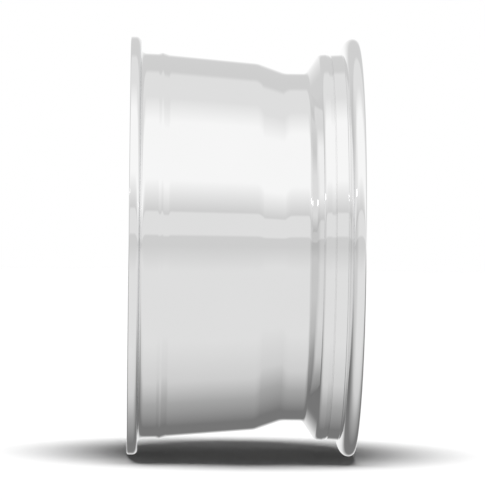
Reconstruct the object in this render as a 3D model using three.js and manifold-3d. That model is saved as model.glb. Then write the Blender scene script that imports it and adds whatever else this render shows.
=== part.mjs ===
// Forged racing wheel, two-piece: a one-piece polished rim and a bolted forged centre.
// Millimetres, +Z up. The wheel turns about Y and its outboard face looks along -Y. The origin is the middle
// of the overall width, on the spin axis. A "station" is a distance along that axis, positive outboard, so
// y = -station. A corner of an outline is [station, radius, fillet radius].

import * as THREE from "three";
import { mergeVertices } from "three/addons/utils/BufferGeometryUtils.js";
import Module from "manifold-3d";

const wasm = await Module();
wasm.setup();

const DEG = Math.PI / 180;

// ---------------------------------------------------------------- driving dimensions

// Fits. Faces that meet keep a small gap, and what passes through a hole keeps a clearance round it.
const CONTACT_GAP = 0.3;
const BORE_CLEARANCE = 0.35;
const CUT_MARGIN = 5; // how far a cutting tool runs past the metal

// Smoothness of the facets.
const WHEEL_SEGMENTS = 48; // a multiple of 4, so the overall sizes are exact
const HARDWARE_SEGMENTS = 12;
const CAP_SEGMENTS = 24;
const LUG_SEAT_SEGMENTS = 16;
const VALVE_CUT_SEGMENTS = 16;
const WIRE_SIDES = 6;
const ARC_STEP = 45 * DEG;

// Rim: the tyre side.
const BEAD_RADIUS = 190.6;
const FLANGE_HEIGHT = 16.8;
const WIDTH_BETWEEN_FLANGES = 198.6;
const INBOARD_FLANGE_WIDTH = 10.4;
const LIP_WIDTH = 16.4;
const LIP_CREST_WIDTH = 5.6; // from the crest of the lip out to its edge
const LIP_EDGE_DROP = 4.4; // from the crest of the lip down to its edge
const LIP_EDGE_HEIGHT = 3; // flat outermost band of the lip
const SEAT_TAPER = 1.0; // rise of a bead seat towards its flange
const SEAT_FILLET = 6; // where the inboard seat turns up into its flange
const HUMP_HEIGHT = 1.2;
const INBOARD_SEAT_WIDTH = 17.5;
const INBOARD_HUMP_WIDTH = 10.9;
const INBOARD_HUMP_PEAK = 0.36; // share of the hump's width at which it is highest, from the seat
const OUTBOARD_SEAT_WIDTH = 12.6; // the groove included
const OUTBOARD_HUMP_WIDTH = 9.8;
const OUTBOARD_HUMP_PEAK = 0.62; // share of the hump's width at which it is highest, from the well
const GROOVE_WIDTH = 1.6;
const GROOVE_DEPTH = 1.6;
const GROOVE_SHOULDER = 0.35; // height of the groove's edges above the bead radius
const BARREL_START_DROP = 1.1; // barrel radius below the bead seat where it leaves the hump
const BARREL_END_DROP = 8.6; // and where its cone ends
const WELL_DEPTH = 18.1;
const WELL_SLOPE_LENGTH = 26.8;
const WELL_WIDTH = 21;
const WELL_WALL_ANGLE = 56 * DEG;
const WELL_FILLET = 5;
const WELL_SLOPE_FILLET = 20;
const LIP_STEPS = 4; // facets of the rolled lip, tyre side and outer side
const LIP_EDGE_STEPS = 2;

// Rim: the inner side.
const WALL = 5;
const EDGE_BREAK = 1.5;
const LIP_HEEL_WIDTH = 6.5; // the lip's inner slope, from the flange face out to its foot
const LIP_HEEL_RISE = 3;
const LIP_HEEL_INSET = 0.5;
const LIP_HEEL_FILLET = 4;
const LIP_EDGE_FILLET = 2;
const INNER_SHIFT = 1; // the inside's corners run this far inboard of the tyre side's
const MOUNT_FLANGE_THICKNESS = 8;
const MOUNT_FLANGE_INSET = 8.3; // outboard face of the mounting flange, inboard of the well's end
const MOUNT_FLANGE_FILLET = 2;

// Assembly bolts and nuts.
const BOLT_COUNT = 15;
const BOLT_RADIUS = 3.9;
const BOLT_EDGE_DISTANCE = 8.5;
const BOLT_FLANGE_RADIUS = 6.5;
const BOLT_FLANGE_THICKNESS = 1.8;
const BOLT_HEAD_RADIUS = 5.3;
const BOLT_HEAD_HEIGHT = 7.6;
const BOLT_TIP_LENGTH = 2;
const NUT_ACROSS_FLATS = 12;
const NUT_THICKNESS = 8;

// Centre.
const BACKSPACING = 114.3; // inboard edge of the rim to the hub face
const CENTRE_RING_CLEARANCE = 1.5;
const CENTRE_RING_THICKNESS = 9;
const PILOT_DEPTH = 6;
const HUB_THICKNESS = 28;
const HUB_PAD_RADIUS = 76;
const HUB_BORE_RADIUS = 36.5;
const HUB_PAD_FILLET = 3;
const CAP_BORE_RADIUS = 31.5;
const CAP_LAND_WIDTH = 10.5; // flat round the cap's bore
const LUG_LAND_DROP = 5;
const SPOKE_PAIRS = 5;
const SPOKE_ROOT_THICKNESS = 19;
const SPOKE_TIP_THICKNESS = 13;
const SPOKE_ROOT_WIDTH = 17;
const SPOKE_TIP_WIDTH = 14;
const PAIR_ROOT_HALF_GAP = 5.5;
const PAIR_TIP_HALF_GAP = 15.5;
const WINDOW_ROOT_MARGIN = 5; // metal between the hub pad and a window
const WINDOW_TIP_MARGIN = 5; // metal between a window and the centre's pilot
const SPOKE_ROOT_LIFT = 4; // the spokes' inboard side is hollowed by this much at the root
const SPOKE_TIP_DROP = 2; // and runs this far past them at the tip, to meet the pilot
const SPOKE_BACK_FILLET = 12;
const SPOKE_TIP_FILLET = 12;
const SPOKE_ROOT_FILLET = 30;
const SPOKE_ROOT_LEAD = 4; // the spokes' slope starts this far inside the windows
const WINDOW_FILLET = 7;
const WINDOW_TIP_STEPS = 8;
const WINDOW_ROOT_STEPS = 4;
const SLOT_FILLET = 4.5;
const SLOT_ROOT_MARGIN = 14;
const SLOT_TIP_STEPS = 2;

// Wheel-nut seats and hub ring.
const LUG_COUNT = 5;
const LUG_CIRCLE_RADIUS = 57.15;
const LUG_HOLE_RADIUS = 8;
const LUG_SEAT_RADIUS = 12.7;
const LUG_SEAT_THICKNESS = 8;
const LUG_SEAT_BORE_RADIUS = 7.4;
const LUG_SEAT_MOUTH_RADIUS = 11;
const LUG_CONE_HALF_ANGLE = 30 * DEG;
const LUG_FLOOR_THICKNESS = 12;
const SPIGOT_RING_BORE_RADIUS = 33.05;
const SPIGOT_RING_LENGTH = 10;
const SPIGOT_RING_INSET = 1;
const SPIGOT_RING_CHAMFER = 1;
const HUB_BORE_DEPTH = 12;

// Centre cap.
const CAP_FLANGE_WIDTH = 5; // from the bore out to the cap's edge
const CAP_FLANGE_THICKNESS = 3.4;
const CAP_FACE_RECESS = 1; // hollow of the face's back, inside the skirt
const CAP_EDGE_FILLET = 2;
const CAP_CROWN = 3;
const CAP_CROWN_FILLET = 20;
const CAP_SKIRT_LENGTH = 12;
const CAP_SKIRT_WALL = 3;
const SPRING_WIRE_RADIUS = 0.8;
const SPRING_RING_SWEEP = 330 * DEG;
const SPRING_RING_INSET = 7;
const CAP_SEAL_RADIUS = 0.9;
const CAP_SEAL_PROUD = 0.7;

// Valve: stations are along the valve's own axis, from the tyre side of the wall.
const VALVE_ANGLE = -18 * DEG; // round the wheel, from +X towards +Z
const VALVE_HOLE_RADIUS = 5.75;
const SPOTFACE_RADIUS = 8.6;
const SPOTFACE_DEPTH = 0.5;
const STEM_RADIUS = 4;
const STEM_LENGTH = 38;
const STEM_HEAD_RADIUS = 7;
const STEM_HEAD_THICKNESS = 3;
const STEM_HEAD_FILLET = 1;
const STEM_TIP_FILLET = 0.5;
const STEM_PASSAGE_RADIUS = 1.3;
const STEM_CHAMBER_DEPTH = 22;
const GROMMET_RADIUS = 7.6;
const GROMMET_THICKNESS = 2.5;
const GROMMET_FILLET = 0.8;
const GROMMET_SLEEVE_LENGTH = 3;
const WASHER_RADIUS = 7.4;
const WASHER_THICKNESS = 1.2;
const VALVE_NUT_ACROSS_FLATS = 12;
const VALVE_NUT_THICKNESS = 5;
const CORE_RADIUS = 2.3;
const CORE_WALL = 0.8;
const CORE_LENGTH = 13;
const CORE_SHOULDER = 1.5;
const CORE_INSET = 1; // the core's top, below the stem's
const PIN_RADIUS = 0.5;
const PIN_HEAD_RADIUS = 1.2;
const PIN_HEAD_LENGTH = 1;
const PIN_PROUD = 0.6; // the pin's head, above the core
const PIN_PLUG_RADIUS = 1.9;
const PIN_PLUG_LENGTH = 2;
const CORE_SPRING_WIRE_RADIUS = 0.2;
const CORE_SPRING_TURNS = 5;
const CORE_SPRING_STEPS = 8; // facets in a turn
const CORE_SPRING_SIDES = 5;
const VALVE_CAP_WALL = 0.8;
const VALVE_CAP_LENGTH = 13;
const VALVE_CAP_TOP = 1.2;
const VALVE_CAP_FILLET = 0.6;
const VALVE_CAP_SEAL_THICKNESS = 1.2;

// ---------------------------------------------------------------- worked-out dimensions

const overallWidth = INBOARD_FLANGE_WIDTH + WIDTH_BETWEEN_FLANGES + LIP_WIDTH;
const inboardEdge = -overallWidth / 2;
const lipEdge = overallWidth / 2;
const inboardFace = inboardEdge + INBOARD_FLANGE_WIDTH;
const outboardFace = lipEdge - LIP_WIDTH;
const flangeRadius = BEAD_RADIUS + FLANGE_HEIGHT;
const lipCrest = lipEdge - LIP_CREST_WIDTH;

const humpEnd = outboardFace - OUTBOARD_SEAT_WIDTH - OUTBOARD_HUMP_WIDTH;
const wellRadius = BEAD_RADIUS - WELL_DEPTH;
const wellEnd = humpEnd - (WELL_DEPTH + HUMP_HEIGHT / 2) / Math.tan(WELL_WALL_ANGLE);
const wellStart = wellEnd - WELL_WIDTH;
const barrelEnd = wellStart - WELL_SLOPE_LENGTH;
const barrelStart = inboardFace + INBOARD_SEAT_WIDTH + INBOARD_HUMP_WIDTH;

const wellInnerRadius = wellRadius - WALL;
const centreRingRadius = wellInnerRadius - CENTRE_RING_CLEARANCE;
const boltCircle = centreRingRadius - BOLT_EDGE_DISTANCE;
const mountFlangeRadius = boltCircle - BOLT_EDGE_DISTANCE;
const mountFlangeFront = wellEnd - MOUNT_FLANGE_INSET;
const mountFlangeBack = mountFlangeFront - MOUNT_FLANGE_THICKNESS;
const boltHoleRadius = BOLT_RADIUS + BORE_CLEARANCE;
const firstBolt = Math.PI / 2; // the first bolt, and the first pair of spokes, are at the top

const ringBack = mountFlangeFront + CONTACT_GAP;
const ringFront = ringBack + CENTRE_RING_THICKNESS;
const pilotRadius = mountFlangeRadius - CONTACT_GAP;
const hubFace = inboardEdge + BACKSPACING;
const hubFront = hubFace + HUB_THICKNESS;
const lugLand = hubFront - LUG_LAND_DROP;
const lugFloor = hubFace + LUG_FLOOR_THICKNESS;
const lugPocketRadius = LUG_SEAT_RADIUS + CONTACT_GAP;
const spokeRootRadius = HUB_PAD_RADIUS + WINDOW_ROOT_MARGIN;
const spokeTipRadius = pilotRadius - WINDOW_TIP_MARGIN;
const capLandRadius = CAP_BORE_RADIUS + CAP_LAND_WIDTH;
const capFlangeRadius = CAP_BORE_RADIUS + CAP_FLANGE_WIDTH;

// ---------------------------------------------------------------- geometry helpers

// A geometry as a manifold-3d solid.
function solidOf(geometry) {
  const bare = geometry.clone();
  bare.deleteAttribute("normal");
  bare.deleteAttribute("uv");
  const merged = mergeVertices(bare, 1e-4);
  return new wasm.Manifold(
    new wasm.Mesh({
      numProp: 3,
      vertProperties: merged.attributes.position.array,
      triVerts: new Uint32Array(merged.index.array),
    }),
  );
}

// A solid as a geometry, with flat facets.
function geometryOf(solid) {
  const mesh = solid.getMesh();
  const geometry = new THREE.BufferGeometry();
  geometry.setAttribute("position", new THREE.BufferAttribute(mesh.vertProperties, 3));
  geometry.setIndex(new THREE.BufferAttribute(mesh.triVerts, 1));
  const faceted = geometry.toNonIndexed();
  faceted.computeVertexNormals();
  return faceted;
}

// The corners [x, y, fillet radius] of a closed outline, or of an open one, with each fillet as an arc.
function filleted(corners, closed = true) {
  const points = [];
  corners.forEach(([x, y, fillet = 0], i) => {
    const here = new THREE.Vector2(x, y);
    if (!fillet || (!closed && (i === 0 || i === corners.length - 1))) {
      points.push(here);
      return;
    }
    const count = corners.length;
    const before = new THREE.Vector2(...corners[(i + count - 1) % count]).sub(here);
    const after = new THREE.Vector2(...corners[(i + 1) % count]).sub(here);
    const shorter = Math.min(before.length(), after.length());
    before.normalize();
    after.normalize();
    const halfAngle = Math.acos(THREE.MathUtils.clamp(before.dot(after), -1, 1)) / 2;
    const reach = Math.min(fillet / Math.tan(halfAngle), 0.49 * shorter); // a fillet is limited by its wall
    const radius = reach * Math.tan(halfAngle);
    const middle = before.clone().add(after).normalize();
    const centre = here.clone().addScaledVector(middle, radius / Math.sin(halfAngle));
    const start = here.clone().addScaledVector(before, reach).sub(centre);
    const turn = Math.atan2(
      before.x * after.y - before.y * after.x,
      before.dot(after),
    );
    const sweep = -Math.sign(turn) * (Math.PI - 2 * halfAngle);
    const steps = Math.max(1, Math.round(Math.abs(sweep) / ARC_STEP));
    for (let k = 0; k <= steps; k++)
      points.push(start.clone().rotateAround(new THREE.Vector2(), (sweep * k) / steps).add(centre));
  });
  return points;
}

// Points along a quarter of an ellipse between two of its axes' ends, without its first point.
function quarterEllipse(centre, from, to, steps) {
  const points = [];
  for (let k = 1; k <= steps; k++) {
    const angle = (Math.PI / 2) * (k / steps);
    points.push([
      centre[0] + from[0] * Math.cos(angle) + to[0] * Math.sin(angle),
      centre[1] + from[1] * Math.cos(angle) + to[1] * Math.sin(angle),
    ]);
  }
  return points;
}

// The solid made by turning an outline of [station, radius, fillet] corners about the Y axis. The outline
// closes on itself, or starts and ends on the axis.
function revolved(corners, segments = HARDWARE_SEGMENTS) {
  const onAxis = corners[0][1] === 0;
  const outline = filleted(corners, !onAxis).map((p) => new THREE.Vector2(p.y, -p.x));
  if (THREE.ShapeUtils.isClockWise(outline)) outline.reverse();
  if (!onAxis) outline.push(outline[0].clone());
  return new THREE.LatheGeometry(outline, segments);
}

// A ring or tube with square corners.
function ring(back, front, inner, outer, segments = HARDWARE_SEGMENTS) {
  return revolved([[back, inner], [back, outer], [front, outer], [front, inner]], segments);
}

// A plain cylinder, for a hole's cutting tool.
function plug(back, front, radius, segments = HARDWARE_SEGMENTS) {
  return revolved([[back, 0], [back, radius], [front, radius], [front, 0]], segments);
}

// An outline in the plane of the wheel, [x, z] corners, run along the spin axis between two stations.
function prism(points, back, front, holes = []) {
  const shape = new THREE.Shape(points);
  shape.holes.push(...holes);
  const geometry = new THREE.ExtrudeGeometry(shape, {
    depth: front - back,
    bevelEnabled: false,
    curveSegments: HARDWARE_SEGMENTS,
  });
  geometry.rotateX(Math.PI / 2); // the outline's y becomes z, and the depth runs outboard, along -Y
  geometry.translate(0, -back, 0);
  return geometry;
}

// A hexagon nut's solid between two stations, with a round bore.
function hexNut(acrossFlats, boreRadius, back, front) {
  const corner = acrossFlats / Math.sqrt(3);
  const points = [];
  for (let k = 0; k < 6; k++)
    points.push(new THREE.Vector2(corner * Math.cos(k * 60 * DEG), corner * Math.sin(k * 60 * DEG)));
  const bore = new THREE.Path().absarc(0, 0, boreRadius, 0, 2 * Math.PI, true);
  return prism(points, back, front, [bore]);
}

// A geometry turned about the spin axis, from +X towards +Z.
function turned(geometry, angle) {
  return geometry.clone().rotateY(-angle);
}

// The place on a circle round the spin axis.
function onCircle(radius, angle) {
  return new THREE.Vector3(radius * Math.cos(angle), 0, radius * Math.sin(angle));
}

// The angles of a pattern of evenly spaced copies, the first at the given angle.
function spaced(count, first) {
  return Array.from({ length: count }, (_, k) => first + (k * 2 * Math.PI) / count);
}

// ---------------------------------------------------------------- finishes

const finish = (color, roughness, metalness) =>
  new THREE.MeshStandardMaterial({ color, roughness, metalness, side: THREE.FrontSide });

const polishedAluminium = finish("#e6e7e8", 0.08, 1);
const machinedAluminium = finish("#d3d5d7", 0.25, 1);
const anodisedAluminium = finish("#8f9296", 0.35, 1);
const boltSteel = finish("#b9bbbe", 0.3, 1);
const nutSteel = finish("#a4a7aa", 0.35, 1);
const seatSteel = finish("#9a9c9f", 0.4, 1);
const springSteel = finish("#85888c", 0.35, 1);
const nickelledBrass = finish("#c9c5bb", 0.25, 1);
const brass = finish("#c8a45a", 0.3, 1);
const sealRubber = finish("#1d1d1e", 0.75, 0);

// ---------------------------------------------------------------- rim

// The outline of the rim's section, from the inboard edge along the tyre side and back along the inside.
function rimOutline() {
  const seatInboardEnd = inboardFace + INBOARD_SEAT_WIDTH;
  const inboardHumpPeak = seatInboardEnd + INBOARD_HUMP_PEAK * INBOARD_HUMP_WIDTH;
  const outboardHumpPeak = humpEnd + OUTBOARD_HUMP_PEAK * OUTBOARD_HUMP_WIDTH;
  const grooveStart = humpEnd + OUTBOARD_HUMP_WIDTH;
  const humpRadius = BEAD_RADIUS + HUMP_HEIGHT;
  const shoulderRadius = BEAD_RADIUS + GROOVE_SHOULDER;
  const seatFlangeRadius = BEAD_RADIUS + SEAT_TAPER;
  const lipRise = flangeRadius - seatFlangeRadius;
  const lipEdgeTop = flangeRadius - LIP_EDGE_DROP;
  const innerBead = BEAD_RADIUS - WALL;
  const slant = Math.tan(WELL_WALL_ANGLE);
  const wallFoot = wellEnd + WALL / Math.sin(WELL_WALL_ANGLE) - WALL / slant;
  const wallTop = wallFoot + (innerBead - wellInnerRadius) / slant;

  const tyreSide = [
    [inboardEdge, flangeRadius, EDGE_BREAK],
    [inboardFace, flangeRadius, WELL_FILLET],
    [inboardFace, BEAD_RADIUS + SEAT_TAPER / 2, SEAT_FILLET],
    [seatInboardEnd, BEAD_RADIUS],
    [inboardHumpPeak, humpRadius],
    [barrelStart, BEAD_RADIUS - BARREL_START_DROP],
    [barrelEnd, BEAD_RADIUS - BARREL_END_DROP, WELL_SLOPE_FILLET],
    [wellStart, wellRadius, WELL_SLOPE_FILLET],
    [wellEnd, wellRadius, WELL_FILLET],
    [humpEnd, BEAD_RADIUS + HUMP_HEIGHT / 2, WELL_FILLET],
    [outboardHumpPeak, humpRadius],
    [grooveStart, shoulderRadius],
    [grooveStart + GROOVE_WIDTH / 2, BEAD_RADIUS - GROOVE_DEPTH],
    [grooveStart + GROOVE_WIDTH, shoulderRadius],
    [outboardFace, seatFlangeRadius],
  ];
  const crestFoot = [lipCrest, seatFlangeRadius];
  const edgeFoot = [lipCrest, lipEdgeTop];
  const lip = [
    ...quarterEllipse(crestFoot, [outboardFace - lipCrest, 0], [0, lipRise], LIP_STEPS),
    ...quarterEllipse(edgeFoot, [0, LIP_EDGE_DROP], [LIP_CREST_WIDTH, 0], LIP_EDGE_STEPS),
    [lipEdge, lipEdgeTop - LIP_EDGE_HEIGHT, LIP_EDGE_FILLET],
  ];
  const inside = [
    [outboardFace + LIP_HEEL_WIDTH, BEAD_RADIUS + LIP_HEEL_RISE, LIP_HEEL_FILLET],
    [outboardFace + LIP_HEEL_INSET, innerBead, WELL_FILLET],
    [wallTop, innerBead, WELL_FILLET],
    [wallFoot, wellInnerRadius, WELL_FILLET],
    [mountFlangeFront, wellInnerRadius, MOUNT_FLANGE_FILLET],
    [mountFlangeFront, mountFlangeRadius],
    [mountFlangeBack, mountFlangeRadius],
    [mountFlangeBack, wellInnerRadius, MOUNT_FLANGE_FILLET],
    [wellStart - INNER_SHIFT, wellInnerRadius],
    [barrelEnd - INNER_SHIFT, innerBead - BARREL_END_DROP],
    [barrelStart, innerBead - BARREL_START_DROP],
    [inboardEdge, innerBead, EDGE_BREAK],
  ];
  return [...tyreSide, ...lip, ...inside];
}

// The frame of the valve: on the spin-axis side of the well wall, its -Y along the valve's own axis.
function valveFrame() {
  const wallMiddle = (wellEnd + humpEnd) / 2;
  const wallMiddleRadius = wellRadius + (WELL_DEPTH + HUMP_HEIGHT / 2) / 2;
  const placed = new THREE.Group();
  placed.position.set(wallMiddleRadius, -wallMiddle, 0);
  placed.rotation.z = WELL_WALL_ANGLE - Math.PI / 2;
  const round = new THREE.Group();
  round.rotation.y = -VALVE_ANGLE;
  round.add(placed);
  round.updateMatrixWorld(true);
  return { round, placed };
}

function rimGeometry(valve) {
  let rim = solidOf(revolved(rimOutline(), WHEEL_SEGMENTS));
  const hole = plug(mountFlangeBack - CUT_MARGIN, mountFlangeFront + CUT_MARGIN, boltHoleRadius);
  for (const angle of spaced(BOLT_COUNT, firstBolt)) {
    const place = onCircle(boltCircle, angle);
    rim = rim.subtract(solidOf(hole.clone().translate(place.x, 0, place.z)));
  }
  const valveCuts = [
    plug(-CUT_MARGIN, WALL + CUT_MARGIN, VALVE_HOLE_RADIUS, VALVE_CUT_SEGMENTS),
    plug(-CUT_MARGIN, SPOTFACE_DEPTH, SPOTFACE_RADIUS, VALVE_CUT_SEGMENTS),
    plug(WALL - SPOTFACE_DEPTH, WALL + CUT_MARGIN, SPOTFACE_RADIUS, VALVE_CUT_SEGMENTS),
  ];
  for (const cut of valveCuts) rim = rim.subtract(solidOf(cut.applyMatrix4(valve.placed.matrixWorld)));
  return geometryOf(rim);
}

// ---------------------------------------------------------------- centre

// The section of the centre: hub pad, spokes and bolt ring.
function centreOutline() {
  const boreEnd = hubFace + HUB_BORE_DEPTH;
  return [
    [hubFace, HUB_BORE_RADIUS],
    [hubFace, HUB_PAD_RADIUS, HUB_PAD_FILLET],
    [lugLand - SPOKE_ROOT_THICKNESS + SPOKE_ROOT_LIFT, spokeRootRadius, SPOKE_BACK_FILLET],
    [ringFront - SPOKE_TIP_THICKNESS - SPOKE_TIP_DROP, spokeTipRadius],
    [ringBack - PILOT_DEPTH, pilotRadius],
    [ringBack, pilotRadius],
    [ringBack, centreRingRadius],
    [ringFront, centreRingRadius],
    [ringFront, spokeTipRadius, SPOKE_TIP_FILLET],
    [lugLand, spokeRootRadius - SPOKE_ROOT_LEAD, SPOKE_ROOT_FILLET],
    [lugLand, capLandRadius + LUG_LAND_DROP / 2],
    [hubFront, capLandRadius],
    [hubFront, CAP_BORE_RADIUS],
    [boreEnd, CAP_BORE_RADIUS],
    [boreEnd, HUB_BORE_RADIUS],
  ];
}

// Points of an arc round the spin axis, both ends included, as [x, z] corners.
function arcCorners(radius, from, to, steps, fillet) {
  return Array.from({ length: steps + 1 }, (_, k) => {
    const angle = from + ((to - from) * k) / steps;
    const atEnd = k === 0 || k === steps;
    return [radius * Math.cos(angle), radius * Math.sin(angle), atEnd ? fillet : 0];
  });
}

// Where a spoke's side, at a distance from its pair's centre line, meets a radius: its angle from that line.
const sideAngle = (offset, radius) => Math.asin(offset / radius);

// The opening between two pairs of spokes, centred on +X.
function windowOutline() {
  const halfPitch = Math.PI / SPOKE_PAIRS;
  const root = halfPitch - sideAngle(PAIR_ROOT_HALF_GAP + SPOKE_ROOT_WIDTH, spokeRootRadius);
  const tip = halfPitch - sideAngle(PAIR_TIP_HALF_GAP + SPOKE_TIP_WIDTH, spokeTipRadius);
  return filleted([
    ...arcCorners(spokeTipRadius, -tip, tip, WINDOW_TIP_STEPS, WINDOW_FILLET),
    ...arcCorners(spokeRootRadius, root, -root, WINDOW_ROOT_STEPS, WINDOW_FILLET),
  ]);
}

// The slot between the two spokes of a pair, centred on +X.
function slotOutline() {
  const inner = HUB_PAD_RADIUS + SLOT_ROOT_MARGIN;
  const root = sideAngle(PAIR_ROOT_HALF_GAP, inner);
  const tip = sideAngle(PAIR_TIP_HALF_GAP, spokeTipRadius);
  return filleted([
    ...arcCorners(spokeTipRadius, -tip, tip, SLOT_TIP_STEPS, SLOT_FILLET),
    ...arcCorners(inner, root, -root, 1, SLOT_FILLET),
  ]);
}

function centreGeometry() {
  let centre = solidOf(revolved(centreOutline(), WHEEL_SEGMENTS));
  const cutBack = hubFace - CUT_MARGIN;
  const cutFront = ringFront + CUT_MARGIN;
  const slot = prism(slotOutline(), cutBack, cutFront);
  const window = prism(windowOutline(), cutBack, cutFront);
  for (const angle of spaced(SPOKE_PAIRS, firstBolt)) {
    centre = centre.subtract(solidOf(turned(slot, angle)));
    centre = centre.subtract(solidOf(turned(window, angle + Math.PI / SPOKE_PAIRS)));
  }
  const boltHole = plug(ringBack - CUT_MARGIN, ringFront + CUT_MARGIN, boltHoleRadius);
  for (const angle of spaced(BOLT_COUNT, firstBolt)) {
    const place = onCircle(boltCircle, angle);
    centre = centre.subtract(solidOf(boltHole.clone().translate(place.x, 0, place.z)));
  }
  const lugHole = plug(cutBack, cutFront, LUG_HOLE_RADIUS);
  const lugPocket = plug(lugFloor, cutFront, lugPocketRadius, LUG_SEAT_SEGMENTS);
  for (const place of lugPlaces())
    for (const tool of [lugHole, lugPocket])
      centre = centre.subtract(solidOf(tool.clone().translate(place.x, 0, place.z)));
  return geometryOf(centre);
}

// The wheel studs' places, in line with the windows.
function lugPlaces() {
  return spaced(LUG_COUNT, firstBolt + Math.PI / LUG_COUNT).map((a) => onCircle(LUG_CIRCLE_RADIUS, a));
}

function lugSeatGeometry() {
  const back = lugFloor + CONTACT_GAP;
  const front = back + LUG_SEAT_THICKNESS;
  const coneDepth = (LUG_SEAT_MOUTH_RADIUS - LUG_SEAT_BORE_RADIUS) / Math.tan(LUG_CONE_HALF_ANGLE);
  return revolved([
    [back, LUG_SEAT_BORE_RADIUS],
    [back, LUG_SEAT_RADIUS],
    [front, LUG_SEAT_RADIUS],
    [front, LUG_SEAT_MOUTH_RADIUS],
    [front - coneDepth, LUG_SEAT_BORE_RADIUS],
  ], LUG_SEAT_SEGMENTS);
}

function spigotRingGeometry() {
  const back = hubFace + SPIGOT_RING_INSET;
  const outer = HUB_BORE_RADIUS - CONTACT_GAP;
  return revolved([
    [back, SPIGOT_RING_BORE_RADIUS + SPIGOT_RING_CHAMFER],
    [back, outer],
    [back + SPIGOT_RING_LENGTH, outer],
    [back + SPIGOT_RING_LENGTH, SPIGOT_RING_BORE_RADIUS],
    [back + SPIGOT_RING_CHAMFER, SPIGOT_RING_BORE_RADIUS],
  ], CAP_SEGMENTS);
}

// ---------------------------------------------------------------- assembly bolts and nuts

function boltGeometry() {
  const seat = ringFront + CONTACT_GAP;
  const tip = mountFlangeBack - CONTACT_GAP - NUT_THICKNESS - BOLT_TIP_LENGTH;
  return revolved([
    [tip, 0],
    [tip, BOLT_RADIUS],
    [seat, BOLT_RADIUS],
    [seat, BOLT_FLANGE_RADIUS],
    [seat + BOLT_FLANGE_THICKNESS, BOLT_FLANGE_RADIUS],
    [seat + BOLT_FLANGE_THICKNESS, BOLT_HEAD_RADIUS],
    [seat + BOLT_HEAD_HEIGHT, BOLT_HEAD_RADIUS],
    [seat + BOLT_HEAD_HEIGHT, 0],
  ]);
}

function nutGeometry() {
  const front = mountFlangeBack - CONTACT_GAP;
  return hexNut(NUT_ACROSS_FLATS, boltHoleRadius, front - NUT_THICKNESS, front);
}

// ---------------------------------------------------------------- centre cap

const capUnderside = hubFront + CAP_SEAL_PROUD + CONTACT_GAP;
const capSkirtRadius = CAP_BORE_RADIUS - CONTACT_GAP - SPRING_WIRE_RADIUS / 2;
const capSealCircle = CAP_BORE_RADIUS + CONTACT_GAP + 2 * CAP_SEAL_RADIUS;
const springRingStation = hubFront - SPRING_RING_INSET;
const springRingRadius = CAP_BORE_RADIUS - CONTACT_GAP - SPRING_WIRE_RADIUS;
const sealGrooveHalf = CAP_SEAL_RADIUS + CONTACT_GAP;

function centreCapGeometry() {
  const front = capUnderside + CAP_FLANGE_THICKNESS;
  const skirtEnd = hubFront - CAP_SKIRT_LENGTH;
  const skirtInner = capSkirtRadius - CAP_SKIRT_WALL;
  const grooveHalf = SPRING_WIRE_RADIUS + CONTACT_GAP;
  const grooveFloor = springRingRadius - SPRING_WIRE_RADIUS - CONTACT_GAP;
  const sealFloor = hubFront + CONTACT_GAP + 2 * CAP_SEAL_RADIUS + CONTACT_GAP;
  return revolved([
    [capUnderside + CAP_FACE_RECESS, 0],
    [capUnderside + CAP_FACE_RECESS, skirtInner],
    [skirtEnd, skirtInner],
    [skirtEnd, capSkirtRadius],
    [springRingStation - grooveHalf, capSkirtRadius],
    [springRingStation - grooveHalf, grooveFloor],
    [springRingStation + grooveHalf, grooveFloor],
    [springRingStation + grooveHalf, capSkirtRadius],
    [capUnderside, capSkirtRadius],
    [capUnderside, capSealCircle - sealGrooveHalf],
    [sealFloor, capSealCircle - sealGrooveHalf],
    [sealFloor, capSealCircle + sealGrooveHalf],
    [capUnderside, capSealCircle + sealGrooveHalf],
    [capUnderside, capFlangeRadius],
    [front, capFlangeRadius, CAP_EDGE_FILLET],
    [front + CAP_CROWN, capFlangeRadius / 2, CAP_CROWN_FILLET],
    [front + CAP_CROWN, 0],
  ], CAP_SEGMENTS);
}

// A round wire bent to an open ring about the spin axis.
class OpenRing extends THREE.Curve {
  constructor(radius, sweep, station) {
    super();
    Object.assign(this, { radius, sweep, station });
  }
  getPoint(t, target = new THREE.Vector3()) {
    const angle = this.sweep * (t - 0.5);
    return target.set(this.radius * Math.cos(angle), -this.station, this.radius * Math.sin(angle));
  }
}

// A wire wound as a helix along the axis, between two stations.
class Helix extends THREE.Curve {
  constructor(radius, turns, back, front) {
    super();
    Object.assign(this, { radius, turns, back, front });
  }
  getPoint(t, target = new THREE.Vector3()) {
    const angle = 2 * Math.PI * this.turns * t;
    const station = this.back + (this.front - this.back) * t;
    return target.set(this.radius * Math.cos(angle), -station, this.radius * Math.sin(angle));
  }
}

// A wire of round section, with the given number of sides, along a curve.
function wire(curve, radius, steps, sides = WIRE_SIDES) {
  const section = new THREE.Shape(
    spaced(sides, 0).map((a) => new THREE.Vector2(radius * Math.cos(a), radius * Math.sin(a))),
  );
  return new THREE.ExtrudeGeometry(section, { extrudePath: curve, steps, bevelEnabled: false });
}

function sealRingGeometry(circle, sectionRadius, station, segments) {
  const corners = spaced(WIRE_SIDES, 0).map((a) => [
    station + sectionRadius * Math.cos(a),
    circle + sectionRadius * Math.sin(a),
  ]);
  return revolved(corners, segments);
}

// ---------------------------------------------------------------- valve

const stemBoreRadius = CORE_RADIUS + CONTACT_GAP;
const tyreSeat = SPOTFACE_DEPTH - CONTACT_GAP;
const dishSeat = WALL - SPOTFACE_DEPTH + CONTACT_GAP;
const coreTop = STEM_LENGTH - CORE_INSET;
const coreBottom = coreTop - CORE_LENGTH;
const coreBoreRadius = CORE_RADIUS - CORE_WALL;
const pinTop = coreTop + PIN_PROUD;

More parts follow.
